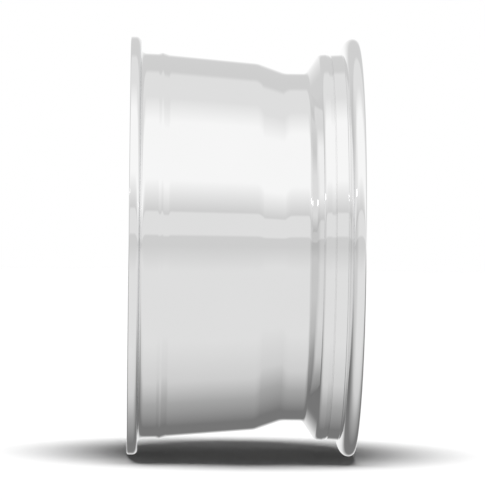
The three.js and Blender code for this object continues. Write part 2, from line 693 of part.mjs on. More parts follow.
function stemGeometry() {
  const headFront = tyreSeat - GROMMET_THICKNESS - CONTACT_GAP;
  const headBack = headFront - STEM_HEAD_THICKNESS;
  const chamberFloor = STEM_LENGTH - STEM_CHAMBER_DEPTH;
  return revolved([
    [headBack, STEM_PASSAGE_RADIUS],
    [headBack, STEM_HEAD_RADIUS, STEM_HEAD_FILLET],
    [headFront, STEM_HEAD_RADIUS],
    [headFront, STEM_RADIUS],
    [STEM_LENGTH, STEM_RADIUS, STEM_TIP_FILLET],
    [STEM_LENGTH, stemBoreRadius],
    [chamberFloor, stemBoreRadius],
    [chamberFloor, STEM_PASSAGE_RADIUS],
  ]);
}

function grommetGeometry() {
  const bore = STEM_RADIUS + CONTACT_GAP;
  const sleeve = VALVE_HOLE_RADIUS - CONTACT_GAP;
  return revolved([
    [tyreSeat - GROMMET_THICKNESS, bore],
    [tyreSeat - GROMMET_THICKNESS, GROMMET_RADIUS, GROMMET_FILLET],
    [tyreSeat, GROMMET_RADIUS],
    [tyreSeat, sleeve],
    [tyreSeat + GROMMET_SLEEVE_LENGTH, sleeve],
    [tyreSeat + GROMMET_SLEEVE_LENGTH, bore],
  ]);
}

function coreGeometry() {
  return revolved([
    [coreBottom, PIN_RADIUS + CONTACT_GAP],
    [coreBottom, CORE_RADIUS],
    [coreTop, CORE_RADIUS],
    [coreTop, coreBoreRadius],
    [coreBottom + CORE_SHOULDER, coreBoreRadius],
    [coreBottom + CORE_SHOULDER, PIN_RADIUS + CONTACT_GAP],
  ]);
}

function pinGeometry() {
  const plugTop = coreBottom - CONTACT_GAP;
  return revolved([
    [plugTop - PIN_PLUG_LENGTH, 0],
    [plugTop - PIN_PLUG_LENGTH, PIN_PLUG_RADIUS],
    [plugTop, PIN_PLUG_RADIUS],
    [plugTop, PIN_RADIUS],
    [pinTop - PIN_HEAD_LENGTH, PIN_RADIUS],
    [pinTop - PIN_HEAD_LENGTH, PIN_HEAD_RADIUS],
    [pinTop, PIN_HEAD_RADIUS],
    [pinTop, 0],
  ]);
}

function coreSpringGeometry() {
  const clear = CONTACT_GAP + CORE_SPRING_WIRE_RADIUS;
  const path = new Helix(
    (PIN_RADIUS + coreBoreRadius) / 2,
    CORE_SPRING_TURNS,
    coreBottom + CORE_SHOULDER + clear,
    pinTop - PIN_HEAD_LENGTH - clear,
  );
  return wire(path, CORE_SPRING_WIRE_RADIUS, CORE_SPRING_TURNS * CORE_SPRING_STEPS, CORE_SPRING_SIDES);
}

const capSealBack = Math.max(STEM_LENGTH, pinTop) + CONTACT_GAP;

function valveCapGeometry() {
  const bore = STEM_RADIUS + CONTACT_GAP;
  const outer = bore + VALVE_CAP_WALL;
  const ceiling = capSealBack + VALVE_CAP_SEAL_THICKNESS + CONTACT_GAP;
  const top = ceiling + VALVE_CAP_TOP;
  return revolved([
    [ceiling, 0],
    [ceiling, bore],
    [top - VALVE_CAP_LENGTH, bore],
    [top - VALVE_CAP_LENGTH, outer],
    [top, outer, VALVE_CAP_FILLET],
    [top, 0],
  ]);
}

// ---------------------------------------------------------------- assembly

const part = new THREE.Group();

function addPiece(parent, name, geometry, material, place) {
  const mesh = new THREE.Mesh(geometry, material);
  mesh.name = name;
  if (place) mesh.position.copy(place);
  parent.add(mesh);
}

const numbered = (stem, index) => `${stem}_${String(index + 1).padStart(2, "0")}`;

const valve = valveFrame();
addPiece(part, "rim", rimGeometry(valve), polishedAluminium);
addPiece(part, "centre", centreGeometry(), machinedAluminium);

const bolt = boltGeometry();
const nut = nutGeometry();
spaced(BOLT_COUNT, firstBolt).forEach((angle, i) => {
  const place = onCircle(boltCircle, angle);
  addPiece(part, numbered("assembly_bolt", i), bolt, boltSteel, place);
  addPiece(part, numbered("assembly_nut", i), nut, nutSteel, place);
});

const lugSeat = lugSeatGeometry();
lugPlaces().forEach((place, i) => addPiece(part, `lug_seat_${i + 1}`, lugSeat, seatSteel, place));
addPiece(part, "spigot_ring", spigotRingGeometry(), anodisedAluminium);

addPiece(part, "centre_cap", centreCapGeometry(), anodisedAluminium);
const capRing = new OpenRing(springRingRadius, SPRING_RING_SWEEP, springRingStation);
addPiece(part, "cap_spring_ring", wire(capRing, SPRING_WIRE_RADIUS, CAP_SEGMENTS), springSteel);
const capSealStation = hubFront + CONTACT_GAP + CAP_SEAL_RADIUS;
const capSeal = sealRingGeometry(capSealCircle, CAP_SEAL_RADIUS, capSealStation, CAP_SEGMENTS);
addPiece(part, "cap_seal", capSeal, sealRubber);

addPiece(valve.placed, "valve_stem", stemGeometry(), nickelledBrass);
addPiece(valve.placed, "valve_grommet", grommetGeometry(), sealRubber);
const washerFront = dishSeat + WASHER_THICKNESS;
const fastenerBore = STEM_RADIUS + BORE_CLEARANCE;
addPiece(valve.placed, "valve_washer", ring(dishSeat, washerFront, fastenerBore, WASHER_RADIUS), boltSteel);
const valveNutBack = washerFront + CONTACT_GAP;
const valveNut = hexNut(
  VALVE_NUT_ACROSS_FLATS,
  fastenerBore,
  valveNutBack,
  valveNutBack + VALVE_NUT_THICKNESS,
);
addPiece(valve.placed, "valve_nut", valveNut, nickelledBrass);
addPiece(valve.placed, "valve_core", coreGeometry(), brass);
addPiece(valve.placed, "valve_pin", pinGeometry(), brass);
addPiece(valve.placed, "valve_spring", coreSpringGeometry(), springSteel);
addPiece(valve.placed, "valve_cap", valveCapGeometry(), anodisedAluminium);
const capSealFront = capSealBack + VALVE_CAP_SEAL_THICKNESS;
addPiece(valve.placed, "valve_cap_seal", plug(capSealBack, capSealFront, STEM_RADIUS), sealRubber);
part.add(valve.round);

export default part;
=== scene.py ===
"""The looks of a polished forged racing wheel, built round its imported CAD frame.

Sizes are in millimetres until a mesh is made, which is in metres, in the frame's own axes. The wheel
turns about Y and its outboard face looks along -Y. A station is a distance along that axis from the middle
of the overall width, positive outboard, so y = -station. A corner of an outline is
(station, radius, fillet radius).
"""

import logging
import math
from dataclasses import dataclass, field
from enum import Enum
from typing import Callable, Sequence

import bmesh
import bpy
import numpy as np
from mathutils import Matrix, Vector, geometry


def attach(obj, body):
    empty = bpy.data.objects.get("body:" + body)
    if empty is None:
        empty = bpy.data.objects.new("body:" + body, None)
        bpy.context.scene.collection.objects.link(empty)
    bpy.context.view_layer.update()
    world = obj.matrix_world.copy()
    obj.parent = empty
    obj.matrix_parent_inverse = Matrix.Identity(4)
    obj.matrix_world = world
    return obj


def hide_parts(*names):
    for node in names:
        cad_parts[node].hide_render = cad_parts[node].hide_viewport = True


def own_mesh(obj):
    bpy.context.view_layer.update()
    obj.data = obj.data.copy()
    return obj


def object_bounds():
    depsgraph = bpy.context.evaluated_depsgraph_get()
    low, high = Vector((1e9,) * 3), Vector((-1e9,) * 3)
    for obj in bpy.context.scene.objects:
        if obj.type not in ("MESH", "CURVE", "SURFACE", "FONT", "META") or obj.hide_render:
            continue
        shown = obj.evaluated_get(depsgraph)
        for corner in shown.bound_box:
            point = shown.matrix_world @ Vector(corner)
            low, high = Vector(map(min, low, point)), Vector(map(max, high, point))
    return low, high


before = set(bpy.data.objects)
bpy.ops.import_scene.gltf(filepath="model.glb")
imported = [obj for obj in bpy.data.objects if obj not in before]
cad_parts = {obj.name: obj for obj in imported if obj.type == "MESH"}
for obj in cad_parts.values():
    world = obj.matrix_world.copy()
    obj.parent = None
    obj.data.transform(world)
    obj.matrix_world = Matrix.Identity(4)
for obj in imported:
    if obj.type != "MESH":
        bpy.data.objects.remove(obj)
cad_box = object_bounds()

log = logging.getLogger("wheel")

MM = 0.001

Corner = tuple[float, ...]
Point = tuple[float, float]


class Body(Enum):
    """The bodies of the frame that pieces ride on."""

    ROOT = "root"
    CENTRE_CAP = "centre_cap"
    VALVE_CAP = "valve_cap"
    VALVE_PIN = "valve_pin"


# ---------------------------------------------------------------------- outlines and meshes


def filleted(
    corners: Sequence[Corner],
    closed: bool = True,
    step: float = 6.0,
    hold: float = 0.35,
) -> list[Point]:
    """Turns corners into points, with each fillet as an arc.

    Args:
        corners: (x, y) or (x, y, fillet radius) for each corner.
        closed: whether the last corner joins the first.
        step: degrees of arc between points.
        hold: length of the short edge kept at each end of a straight, so that shading stays flat along it.

    Returns:
        The points of the outline, in order.
    """
    arcs: list[list[Vector]] = []
    count = len(corners)
    for i, corner in enumerate(corners):
        here = Vector(corner[:2])
        fillet = corner[2] if len(corner) > 2 else 0.0
        if not fillet or (not closed and i in (0, count - 1)):
            arcs.append([here])
            continue
        before = Vector(corners[i - 1][:2]) - here
        after = Vector(corners[(i + 1) % count][:2]) - here
        shorter = min(before.length, after.length)
        before.normalize()
        after.normalize()
        half = math.acos(max(-1.0, min(1.0, before.dot(after)))) / 2
        reach = min(fillet / math.tan(half), 0.49 * shorter)
        radius = reach * math.tan(half)
        centre = here + (before + after).normalized() * (radius / math.sin(half))
        start = here + before * reach - centre
        turn = before.x * after.y - before.y * after.x
        sweep = -math.copysign(math.pi - 2 * half, turn)
        steps = max(2, round(math.degrees(abs(sweep)) / step))
        arcs.append([centre + Matrix.Rotation(sweep * k / steps, 2) @ start for k in range(steps + 1)])
    points: list[Vector] = []
    for i, arc in enumerate(arcs):
        points.extend(arc)
        following = arcs[(i + 1) % count][0]
        if i == count - 1 and not closed:
            break
        run = following - arc[-1]
        if run.length > 3 * hold:
            along = run.normalized() * hold
            points.extend([arc[-1] + along, following - along])
    return [(p.x, p.y) for p in points]


def quarter_ellipse(centre: Point, first: Point, last: Point, steps: int) -> list[Point]:
    """Points along a quarter of an ellipse, without its first point.

    Args:
        centre: the ellipse's centre.
        first: the half axis that the arc starts on, from the centre.
        last: the half axis that it ends on.
        steps: how many points to give.

    Returns:
        The points, the last one at the end of the second half axis.
    """
    angles = [math.pi / 2 * k / steps for k in range(1, steps + 1)]
    return [
        (
            centre[0] + first[0] * math.cos(a) + last[0] * math.sin(a),
            centre[1] + first[1] * math.cos(a) + last[1] * math.sin(a),
        )
        for a in angles
    ]


def spaced(count: int, first: float) -> list[float]:
    """The angles, in radians, of evenly spaced copies, the first at the given angle in degrees."""
    return [math.radians(first) + 2 * math.pi * k / count for k in range(count)]


class Shell:
    """A mesh gathered loop by loop, in millimetres as (x, y, z)."""

    def __init__(self) -> None:
        """Starts with nothing in it."""
        self.points: list[tuple[float, float, float]] = []
        self.faces: list[tuple[int, ...]] = []

    def loop(self, points: Sequence[Sequence[float]]) -> list[int]:
        """Adds points and returns their indices."""
        start = len(self.points)
        self.points.extend(tuple(float(v) for v in p) for p in points)
        return list(range(start, len(self.points)))

    def bridge(self, first: list[int], second: list[int]) -> None:
        """Joins two closed loops of one length, or a loop and a single point, with faces."""
        long = max(len(first), len(second))
        for i in range(long):
            j = (i + 1) % long
            near = [first[i % len(first)], first[j % len(first)]]
            far = [second[j % len(second)], second[i % len(second)]]
            self.faces.append(tuple(dict.fromkeys(near + far)))

    def piece(self, name: str, smooth_angle: float = 35.0) -> bpy.types.Object:
        """Makes the object.

        Args:
            name: the piece's name.
            smooth_angle: edges that turn by more degrees than this are sharp.

        Returns:
            The object, linked to the scene, with its normals outward.
        """
        mesh = bpy.data.meshes.new(name)
        mesh.from_pydata([tuple(v * MM for v in p) for p in self.points], [], self.faces)
        work = bmesh.new()
        work.from_mesh(mesh)
        bmesh.ops.remove_doubles(work, verts=work.verts, dist=1e-7)
        bmesh.ops.recalc_face_normals(work, faces=work.faces)
        work.to_mesh(mesh)
        work.free()
        made = bpy.data.objects.new(name, mesh)
        bpy.context.scene.collection.objects.link(made)
        shade(made, smooth_angle)
        return made


def shade(piece: bpy.types.Object, smooth_angle: float) -> None:
    """Shades a piece smooth, apart from the edges that turn by more than an angle in degrees."""
    piece.data.shade_smooth()
    piece.data.set_sharp_from_angle(angle=math.radians(smooth_angle))


def turned_ring(station: float, radii: float | np.ndarray, segments: int) -> np.ndarray:
    """One ring of points about the spin axis; the radius may differ round it."""
    angles = 2 * np.pi * np.arange(segments) / segments
    radius = np.broadcast_to(radii, (segments,))
    return np.stack([radius * np.cos(angles), np.full(segments, -station), radius * np.sin(angles)], 1)


def lathe(
    name: str,
    outline: Sequence[Point],
    segments: int,
    smooth_angle: float = 35.0,
) -> bpy.types.Object:
    """Turns an outline about the spin axis.

    Args:
        name: the piece's name.
        outline: (station, radius) points; it closes on itself unless it starts and ends on the axis.
        segments: facets in a turn.
        smooth_angle: edges that turn by more degrees than this are sharp.

    Returns:
        The object.
    """
    shell = Shell()
    on_axis = outline[0][1] == 0
    loops = [
        shell.loop([(0, -s, 0)]) if r == 0 else shell.loop(turned_ring(s, r, segments)) for s, r in outline
    ]
    for first, second in zip(loops, loops[1:] if on_axis else loops[1:] + loops[:1]):
        shell.bridge(first, second)
    return shell.piece(name, smooth_angle)


def stacked(
    name: str,
    rings: Sequence[tuple[float, float | np.ndarray]],
    segments: int,
) -> bpy.types.Object:
    """Builds a piece from rings whose radius may differ round the turn, such as a bolt head.

    Args:
        name: the piece's name.
        rings: (station, radius or radii) from one end to the other; a radius of 0 closes an end.
        segments: points in a ring.

    Returns:
        The object; if no end is closed, its last ring joins its first, as round a bore.
    """
    shell = Shell()
    loops = [
        shell.loop([(0, -s, 0)]) if np.ndim(r) == 0 and r == 0 else shell.loop(turned_ring(s, r, segments))
        for s, r in rings
    ]
    closed = len(loops[0]) > 1
    for first, second in zip(loops, loops[1:] + loops[:1] if closed else loops[1:]):
        shell.bridge(first, second)
    return shell.piece(name)


def polygon_radii(across_flats: float, segments: int, points: int = 6, turn: float = 0.0) -> np.ndarray:
    """The radius, at each point of a ring, of a hexagon, or of a twelve-point star made by two hexagons.

    Args:
        across_flats: the width of one hexagon over its flats.
        segments: points in the ring.
        points: 6 for a hexagon, 12 for a star.
        turn: rotation in degrees.

    Returns:
        One radius for each point of the ring.
    """
    angles = np.degrees(2 * np.pi * np.arange(segments) / segments) + turn
    half_side = 30.0

    def hexagon(a: np.ndarray) -> np.ndarray:
        return across_flats / 2 / np.cos(np.radians((a + half_side) % 60.0 - half_side))

    return hexagon(angles) if points == 6 else np.maximum(hexagon(angles), hexagon(angles + half_side))


def cut(piece: bpy.types.Object, cutters: Sequence[bpy.types.Object], smooth_angle: float = 30.0) -> None:
    """Cuts solids out of a piece and removes them.

    Args:
        piece: what is cut.
        cutters: closed solids that don't touch each other.
        smooth_angle: edges that turn by more degrees than this are sharp.
    """
    for cutter in cutters:
        tool = piece.modifiers.new("cut", "BOOLEAN")
        tool.operation = "DIFFERENCE"
        tool.solver = "MANIFOLD"
        tool.object = cutter
    bpy.context.view_layer.update()
    result = bpy.data.meshes.new_from_object(piece.evaluated_get(bpy.context.evaluated_depsgraph_get()))
    piece.modifiers.clear()
    piece.data = result
    shade(piece, smooth_angle)
    for cutter in cutters:
        bpy.data.objects.remove(cutter)


def joined(name: str, pieces: Sequence[bpy.types.Object]) -> bpy.types.Object:
    """Merges several objects' meshes, in place, into one object."""
    work = bmesh.new()
    for piece in pieces:
        piece.data.transform(piece.matrix_world)
        work.from_mesh(piece.data)
        bpy.data.objects.remove(piece)
    mesh = bpy.data.meshes.new(name)
    work.to_mesh(mesh)
    work.free()
    made = bpy.data.objects.new(name, mesh)
    bpy.context.scene.collection.objects.link(made)
    return made


def on_circle(radius: float, angle: float) -> Vector:
    """A place on a circle round the spin axis, in metres."""
    return Vector((radius * math.cos(angle), 0, radius * math.sin(angle))) * MM


# ---------------------------------------------------------------------- finishes


def linear(colour: str) -> tuple[float, float, float, float]:
    """Turns an sRGB hex colour, such as "#d8d9da", to the linear values that shaders take."""
    channels = [int(colour[i : i + 2], 16) / 255 for i in (1, 3, 5)]
    bright = [c / 12.92 if c <= 0.04045 else ((c + 0.055) / 1.055) ** 2.4 for c in channels]
    return (bright[0], bright[1], bright[2], 1.0)


def add_node(
    tree: bpy.types.NodeTree,
    kind: str,
    inputs: dict | None = None,
    **settings: object,
) -> bpy.types.Node:
    """Adds a node to a tree.

    Args:
        tree: the node tree.
        kind: the node's type, such as ShaderNodeTexNoise.
        inputs: socket name or index to a value, or to the output socket that feeds it.
        settings: the node's own properties.

    Returns:
        The node.
    """
    made = tree.nodes.new(kind)
    for name, value in settings.items():
        setattr(made, name, value)
    for socket, value in (inputs or {}).items():
        if isinstance(value, bpy.types.NodeSocket):
            tree.links.new(value, made.inputs[socket])
        else:
            made.inputs[socket].default_value = value
    return made


@dataclass(frozen=True)
class Metal:
    """A metal surface with the marks that its making left.

    Attributes:
        name: the material's name.
        colour: sRGB hex colour of the bare or plated metal.
        tint: the colour of its duller patches.
        roughness: of the best areas.
        wear: how much roughness the dull patches add.
        mark_spacing: millimetres between tool marks.
        mark_depth: strength of the marks' bump, 0 to 1.
        marks: the direction that the marks run in.
        patch_size: millimetres across the dull patches.
    """

    class Marks(Enum):
        """How the tool passed over the surface."""

        TURNED = "round the spin axis"
        DRAWN = "along the piece"
        GRAIN = "no direction"

    name: str
    colour: str
    tint: str
    roughness: float
    wear: float
    mark_spacing: float
    mark_depth: float
    marks: "Metal.Marks" = Marks.TURNED
    patch_size: float = 40.0

    def build(self) -> bpy.types.Material:
        """Makes the material, once."""
        existing = bpy.data.materials.get(self.name)
        if existing:
            return existing
        material = bpy.data.materials.new(self.name)
        material.use_nodes = True
        tree = material.node_tree
        tree.nodes.clear()
        place = add_node(tree, "ShaderNodeTexCoord").outputs["Object"]
        patches = add_node(
            tree,
            "ShaderNodeTexNoise",
            {"Vector": place, "Scale": 1 / (self.patch_size * MM), "Detail": 3.0, "Roughness": 0.55},
        ).outputs["Fac"]
        colour = add_node(
            tree,
            "ShaderNodeMix",
            {"Factor": patches, 6: linear(self.colour), 7: linear(self.tint)},
            data_type="RGBA",
        ).outputs[2]
        roughness = add_node(
            tree,
            "ShaderNodeMapRange",
            {
                "Value": patches,
                "From Min": 0.35,
                "From Max": 0.75,
                "To Min": self.roughness,
                "To Max": self.roughness + self.wear,
            },
        ).outputs["Result"]
        marks = add_node(
            tree,
            "ShaderNodeTexNoise",
            {"Vector": self._mark_vector(tree, place), "Scale": 1 / (self.mark_spacing * MM), "Detail": 2.0},
        ).outputs["Fac"]
        bump = add_node(
            tree,
            "ShaderNodeBump",
            {"Height": marks, "Strength": self.mark_depth, "Distance": self.mark_spacing * MM * 0.02},
        ).outputs["Normal"]
        surface = add_node(
            tree,
            "ShaderNodeBsdfPrincipled",
            {"Base Color": colour, "Metallic": 1.0, "Roughness": roughness, "Normal": bump},
        )
        add_node(tree, "ShaderNodeOutputMaterial", {"Surface": surface.outputs[0]})
        return material

    def _mark_vector(self, tree: bpy.types.NodeTree, place: bpy.types.NodeSocket) -> bpy.types.NodeSocket:
        """The coordinate whose noise runs in the direction of the marks."""
        if self.marks is Metal.Marks.GRAIN:
            return place
        parts = add_node(tree, "ShaderNodeSeparateXYZ", {0: place})
        if self.marks is Metal.Marks.DRAWN:
            flat = {0: parts.outputs["X"], 2: parts.outputs["Z"]}
            return add_node(tree, "ShaderNodeCombineXYZ", flat).outputs[0]
        square = {0: parts.outputs["X"], 1: parts.outputs["Z"]}
        across = add_node(tree, "ShaderNodeCombineXYZ", square).outputs[0]
        radius = add_node(tree, "ShaderNodeVectorMath", {0: across}, operation="LENGTH").outputs["Value"]
        return add_node(tree, "ShaderNodeCombineXYZ", {0: radius, 1: parts.outputs["Y"]}).outputs[0]


@dataclass(frozen=True)
class MouldedRubber:
    """Moulded nitrile or EPDM rubber: near black, matt, with a faint pebble from the mould.

    Attributes:
        name: the material's name.
        colour: sRGB hex colour.
        bloom: the greyer colour where the rubber has bloomed.
        grain: millimetres across one pebble.
    """

    name: str = "moulded_rubber"
    colour: str = "#1b1b1c"
    bloom: str = "#2c2c2e"
    grain: float = 0.4

    def build(self) -> bpy.types.Material:
        """Makes the material, once."""
        existing = bpy.data.materials.get(self.name)
        if existing:
            return existing
        material = bpy.data.materials.new(self.name)
        material.use_nodes = True
        tree = material.node_tree
        tree.nodes.clear()
        place = add_node(tree, "ShaderNodeTexCoord").outputs["Object"]
        fine = {"Vector": place, "Scale": 1 / (self.grain * MM), "Detail": 2.0}
        pebble = add_node(tree, "ShaderNodeTexNoise", fine)
        bloom = add_node(tree, "ShaderNodeTexNoise", {"Vector": place, "Scale": 120.0, "Detail": 3.0})
        colour = add_node(
            tree,
            "ShaderNodeMix",
            {"Factor": bloom.outputs["Fac"], 6: linear(self.colour), 7: linear(self.bloom)},
            data_type="RGBA",
        ).outputs[2]
        raised = {"Height": pebble.outputs["Fac"], "Strength": 0.3, "Distance": 0.00005}
        bump = add_node(tree, "ShaderNodeBump", raised)
        surface = add_node(
            tree,
            "ShaderNodeBsdfPrincipled",
            {"Base Color": colour, "Roughness": 0.62, "IOR": 1.52, "Normal": bump.outputs["Normal"]},
        )
        add_node(tree, "ShaderNodeOutputMaterial", {"Surface": surface.outputs[0]})
        return material


# Forged aluminium, turned and then polished on mops: a mirror with the faintest rings left by the lathe. The
# real rings are under 0.1 mm apart; they are drawn coarser, so that reflections waver slightly.
MIRROR_POLISH = Metal(
    "mirror_polished_aluminium", "#f8f8f8", "#f5f5f5", 0.015, 0.03, 2.5, 0.05, patch_size=90
)
# The same forging left as turned, inside the barrel: fine rings, satin.
TURNED_SATIN = Metal("turned_satin_aluminium", "#e1e2e3", "#d5d6d8", 0.27, 0.08, 1.2, 0.5)
# Milled and turned forged aluminium under a clear anodic film.
MACHINED = Metal("machined_aluminium", "#dedfe0", "#d2d3d5", 0.14, 0.08, 1.0, 0.3)
# Machined then anodised aluminium: darker, satin, without visible tool marks.
ANODISED = Metal("anodised_aluminium", "#9a9da2", "#8b8e93", 0.3, 0.08, 0.5, 0.25, patch_size=15)
# Cold-forged steel bolts with a bright plating.
BRIGHT_STEEL = Metal("bright_plated_steel", "#d5d6d8", "#b9bbbf", 0.16, 0.12, 0.6, 0.3, Metal.Marks.GRAIN, 8)
# Plated steel lock nuts, a little duller.
NUT_STEEL = Metal("plated_steel", "#bfc1c4", "#a3a6aa", 0.24, 0.14, 0.6, 0.35, Metal.Marks.GRAIN, 8)
# Turned steel wheel-nut seats.
SEAT_STEEL = Metal("turned_steel", "#b0b2b5", "#96999d", 0.25, 0.12, 0.5, 0.4, patch_size=10)
# Hard-drawn spring wire: lengthways lines and a grey oxide tone.
SPRING_STEEL = Metal("drawn_spring_steel", "#9a9da1", "#7d8085", 0.3, 0.1, 0.3, 0.3, Metal.Marks.DRAWN, 6)
# Nickel over turned brass: warm, bright.
NICKEL = Metal("nickel_plated_brass", "#d2cfc7", "#bdb9af", 0.15, 0.1, 0.4, 0.25, Metal.Marks.GRAIN, 6)
# Turned brass.
BRASS = Metal("turned_brass", "#d9b468", "#b8924a", 0.22, 0.12, 0.3, 0.3, Metal.Marks.GRAIN, 5)
RUBBER = MouldedRubber()


def dress(
    piece: bpy.types.Object,
    finishes: Sequence[Metal | MouldedRubber],
    body: Body,
    nodes: Sequence[str],
) -> bpy.types.Object:
    """Gives a piece its finishes and its place in the frame.

    Args:
        piece: the piece.
        finishes: one for each of its material slots.
        body: the body it rides on.
        nodes: the CAD nodes that it stands for.

    Returns:
        The piece.
    """
    piece.data.materials.clear()
    for finish in finishes:
        piece.data.materials.append(finish.build())
    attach(piece, body.value)
    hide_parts(*nodes)
    log.info("%s rides on %s with %d faces", piece.name, body.value, len(piece.data.polygons))
    return piece


# ---------------------------------------------------------------------- rim


@dataclass
class Rim:
    """The one-piece rim: tyre flanges, bead seats, barrel, drop centre and mounting flange."""

    bead_radius: float = 190.6
    flange_height: float = 16.8
    width_between_flanges: float = 198.6
    inboard_flange_width: float = 10.4
    lip_width: float = 16.4
    lip_crest_width: float = 5.6
    lip_edge_drop: float = 4.4
    lip_edge_height: float = 3.0
    seat_taper: float = 1.0
    hump_height: float = 1.2
    inboard_seat_width: float = 17.5
    inboard_hump_width: float = 10.9
    inboard_hump_peak: float = 0.36
    outboard_seat_width: float = 12.6
    outboard_hump_width: float = 9.8
    outboard_hump_peak: float = 0.62
    groove_width: float = 1.6
    groove_depth: float = 1.6
    groove_shoulder: float = 0.35
    barrel_start_drop: float = 1.1
    barrel_end_drop: float = 8.6
    well_depth: float = 18.1
    well_slope_length: float = 26.8
    well_width: float = 21.0
    well_wall_angle: float = math.radians(56)
    well_fillet: float = 5.0
    wall: float = 5.0
    edge_break: float = 1.5
    mount_flange_thickness: float = 8.0
    mount_flange_inset: float = 8.3
    mount_flange_fillet: float = 2.0
    bolt_edge_distance: float = 8.5
    centre_ring_clearance: float = 1.5
    bolt_count: int = 15
    bolt_hole_radius: float = 4.25
    bolt_hole_chamfer: float = 0.4
    segments: int = 288

    def __post_init__(self) -> None:
        """Works out the stations and radii that follow from the sizes."""
        overall = self.inboard_flange_width + self.width_between_flanges + self.lip_width
        self.inboard_edge = -overall / 2
        self.lip_edge = overall / 2
        self.inboard_face = self.inboard_edge + self.inboard_flange_width
        self.outboard_face = self.lip_edge - self.lip_width
        self.flange_radius = self.bead_radius + self.flange_height
        self.hump_end = self.outboard_face - self.outboard_seat_width - self.outboard_hump_width
        self.well_radius = self.bead_radius - self.well_depth
        rise = self.well_depth + self.hump_height / 2
        self.well_end = self.hump_end - rise / math.tan(self.well_wall_angle)
        self.well_start = self.well_end - self.well_width
        self.barrel_end = self.well_start - self.well_slope_length
        self.barrel_start = self.inboard_face + self.inboard_seat_width + self.inboard_hump_width
        self.well_inner_radius = self.well_radius - self.wall
        self.centre_ring_radius = self.well_inner_radius - self.centre_ring_clearance
        self.bolt_circle = self.centre_ring_radius - self.bolt_edge_distance
        self.mount_flange_radius = self.bolt_circle - self.bolt_edge_distance
        self.mount_flange_front = self.well_end - self.mount_flange_inset
        self.mount_flange_back = self.mount_flange_front - self.mount_flange_thickness

    def tyre_side(self) -> list[Corner]:
        """The corners of the outside, from the inboard edge to the outboard flange."""
        seat_end = self.inboard_face + self.inboard_seat_width
        groove = self.hump_end + self.outboard_hump_width
        hump = self.bead_radius + self.hump_height
        shoulder = self.bead_radius + self.groove_shoulder
        return [
            (self.inboard_edge, self.flange_radius, self.edge_break),
            (self.inboard_face, self.flange_radius, self.well_fillet),
            (self.inboard_face, self.bead_radius + self.seat_taper / 2, 6),
            (seat_end, self.bead_radius, 4),
            (seat_end + self.inboard_hump_peak * self.inboard_hump_width, hump, 4),
            (self.barrel_start, self.bead_radius - self.barrel_start_drop, 6),
            (self.barrel_end, self.bead_radius - self.barrel_end_drop, 20),
            (self.well_start, self.well_radius, 20),
            (self.well_end, self.well_radius, self.well_fillet),
            (self.hump_end, self.bead_radius + self.hump_height / 2, self.well_fillet),
            (self.hump_end + self.outboard_hump_peak * self.outboard_hump_width, hump, 3),
            (groove, shoulder, 0.15),
            (groove + self.groove_width / 2, self.bead_radius - self.groove_depth, 0.3),
            (groove + self.groove_width, shoulder, 0.15),
            (self.outboard_face, self.bead_radius + self.seat_taper, 1.5),
        ]

    def lip(self) -> list[Corner]:
        """The corners of the rolled lip, from the tyre side over its crest to its edge."""
        crest = self.lip_edge - self.lip_crest_width
        foot = self.bead_radius + self.seat_taper
        edge_top = self.flange_radius - self.lip_edge_drop
        rise, roll = (0, self.flange_radius - foot), (self.outboard_face - crest, 0)
        over = quarter_ellipse((crest, foot), roll, rise, 20)
        out = quarter_ellipse((crest, edge_top), (0, self.lip_edge_drop), (self.lip_crest_width, 0), 10)
        return [*over, *out, (self.lip_edge, edge_top - self.lip_edge_height, 2)]

    def inside(self) -> list[Corner]:
        """The corners of the inside, from the lip back to the inboard edge."""
        bead = self.bead_radius - self.wall
        slant = math.tan(self.well_wall_angle)
        foot = self.well_end + self.wall / math.sin(self.well_wall_angle) - self.wall / slant
        top = foot + (bead - self.well_inner_radius) / slant
        return [
            (self.outboard_face + self.wall + 1.5, self.bead_radius + 0.6 * self.wall, 4),
            (self.outboard_face + 0.5, bead, self.well_fillet),
            (top, bead, self.well_fillet),
            (foot, self.well_inner_radius, self.well_fillet),
            (self.mount_flange_front, self.well_inner_radius, self.mount_flange_fillet),
            (self.mount_flange_front, self.mount_flange_radius, 0.5),
            (self.mount_flange_back, self.mount_flange_radius, 0.5),
            (self.mount_flange_back, self.well_inner_radius, self.mount_flange_fillet),
            (self.well_start - self.wall / 5, self.well_inner_radius, 12),
            (self.barrel_end - self.wall / 5, self.bead_radius - self.barrel_end_drop - self.wall, 20),
            (self.barrel_start, self.bead_radius - self.barrel_start_drop - self.wall, 20),
            (self.inboard_edge, bead, self.edge_break),
        ]

    def build(self, valve: "Valve") -> bpy.types.Object:
        """Makes the rim, with its bolt holes and the valve's hole.

        Args:
            valve: where the valve goes through the wall.

        Returns:
            The rim.
        """
        outline = filleted([*self.tyre_side(), *self.lip(), *self.inside()])
        rim = lathe("rim_shell", outline, self.segments)
        holes = []
        for angle in spaced(self.bolt_count, 90):
            hole = chamfered_drill(
                self.mount_flange_back,
                self.mount_flange_front,
                self.bolt_hole_radius,
                self.bolt_hole_chamfer,
            )
            hole.location = on_circle(self.bolt_circle, angle)
            holes.append(hole)
        bpy.context.view_layer.update()
        cut(rim, [joined("bolt_holes", holes), *valve.cutters()])
        dress(rim, [MIRROR_POLISH, TURNED_SATIN], Body.ROOT, ["rim"])
        for face in rim.data.polygons:
            radius = math.hypot(face.center.x, face.center.z) / MM
            face.material_index = int(self._as_turned(-face.center.y / MM, radius))
        return rim

    def _as_turned(self, station: float, radius: float) -> bool:
        """Whether a place is on the barrel's inside, behind the mounting flange, which is left as turned."""
        stations, radii = np.array([corner[:2] for corner in self.tyre_side()]).T
        within = radius < np.interp(station, stations, radii) - self.wall / 2
        return bool(within and station < self.mount_flange_front + self.edge_break / 10)


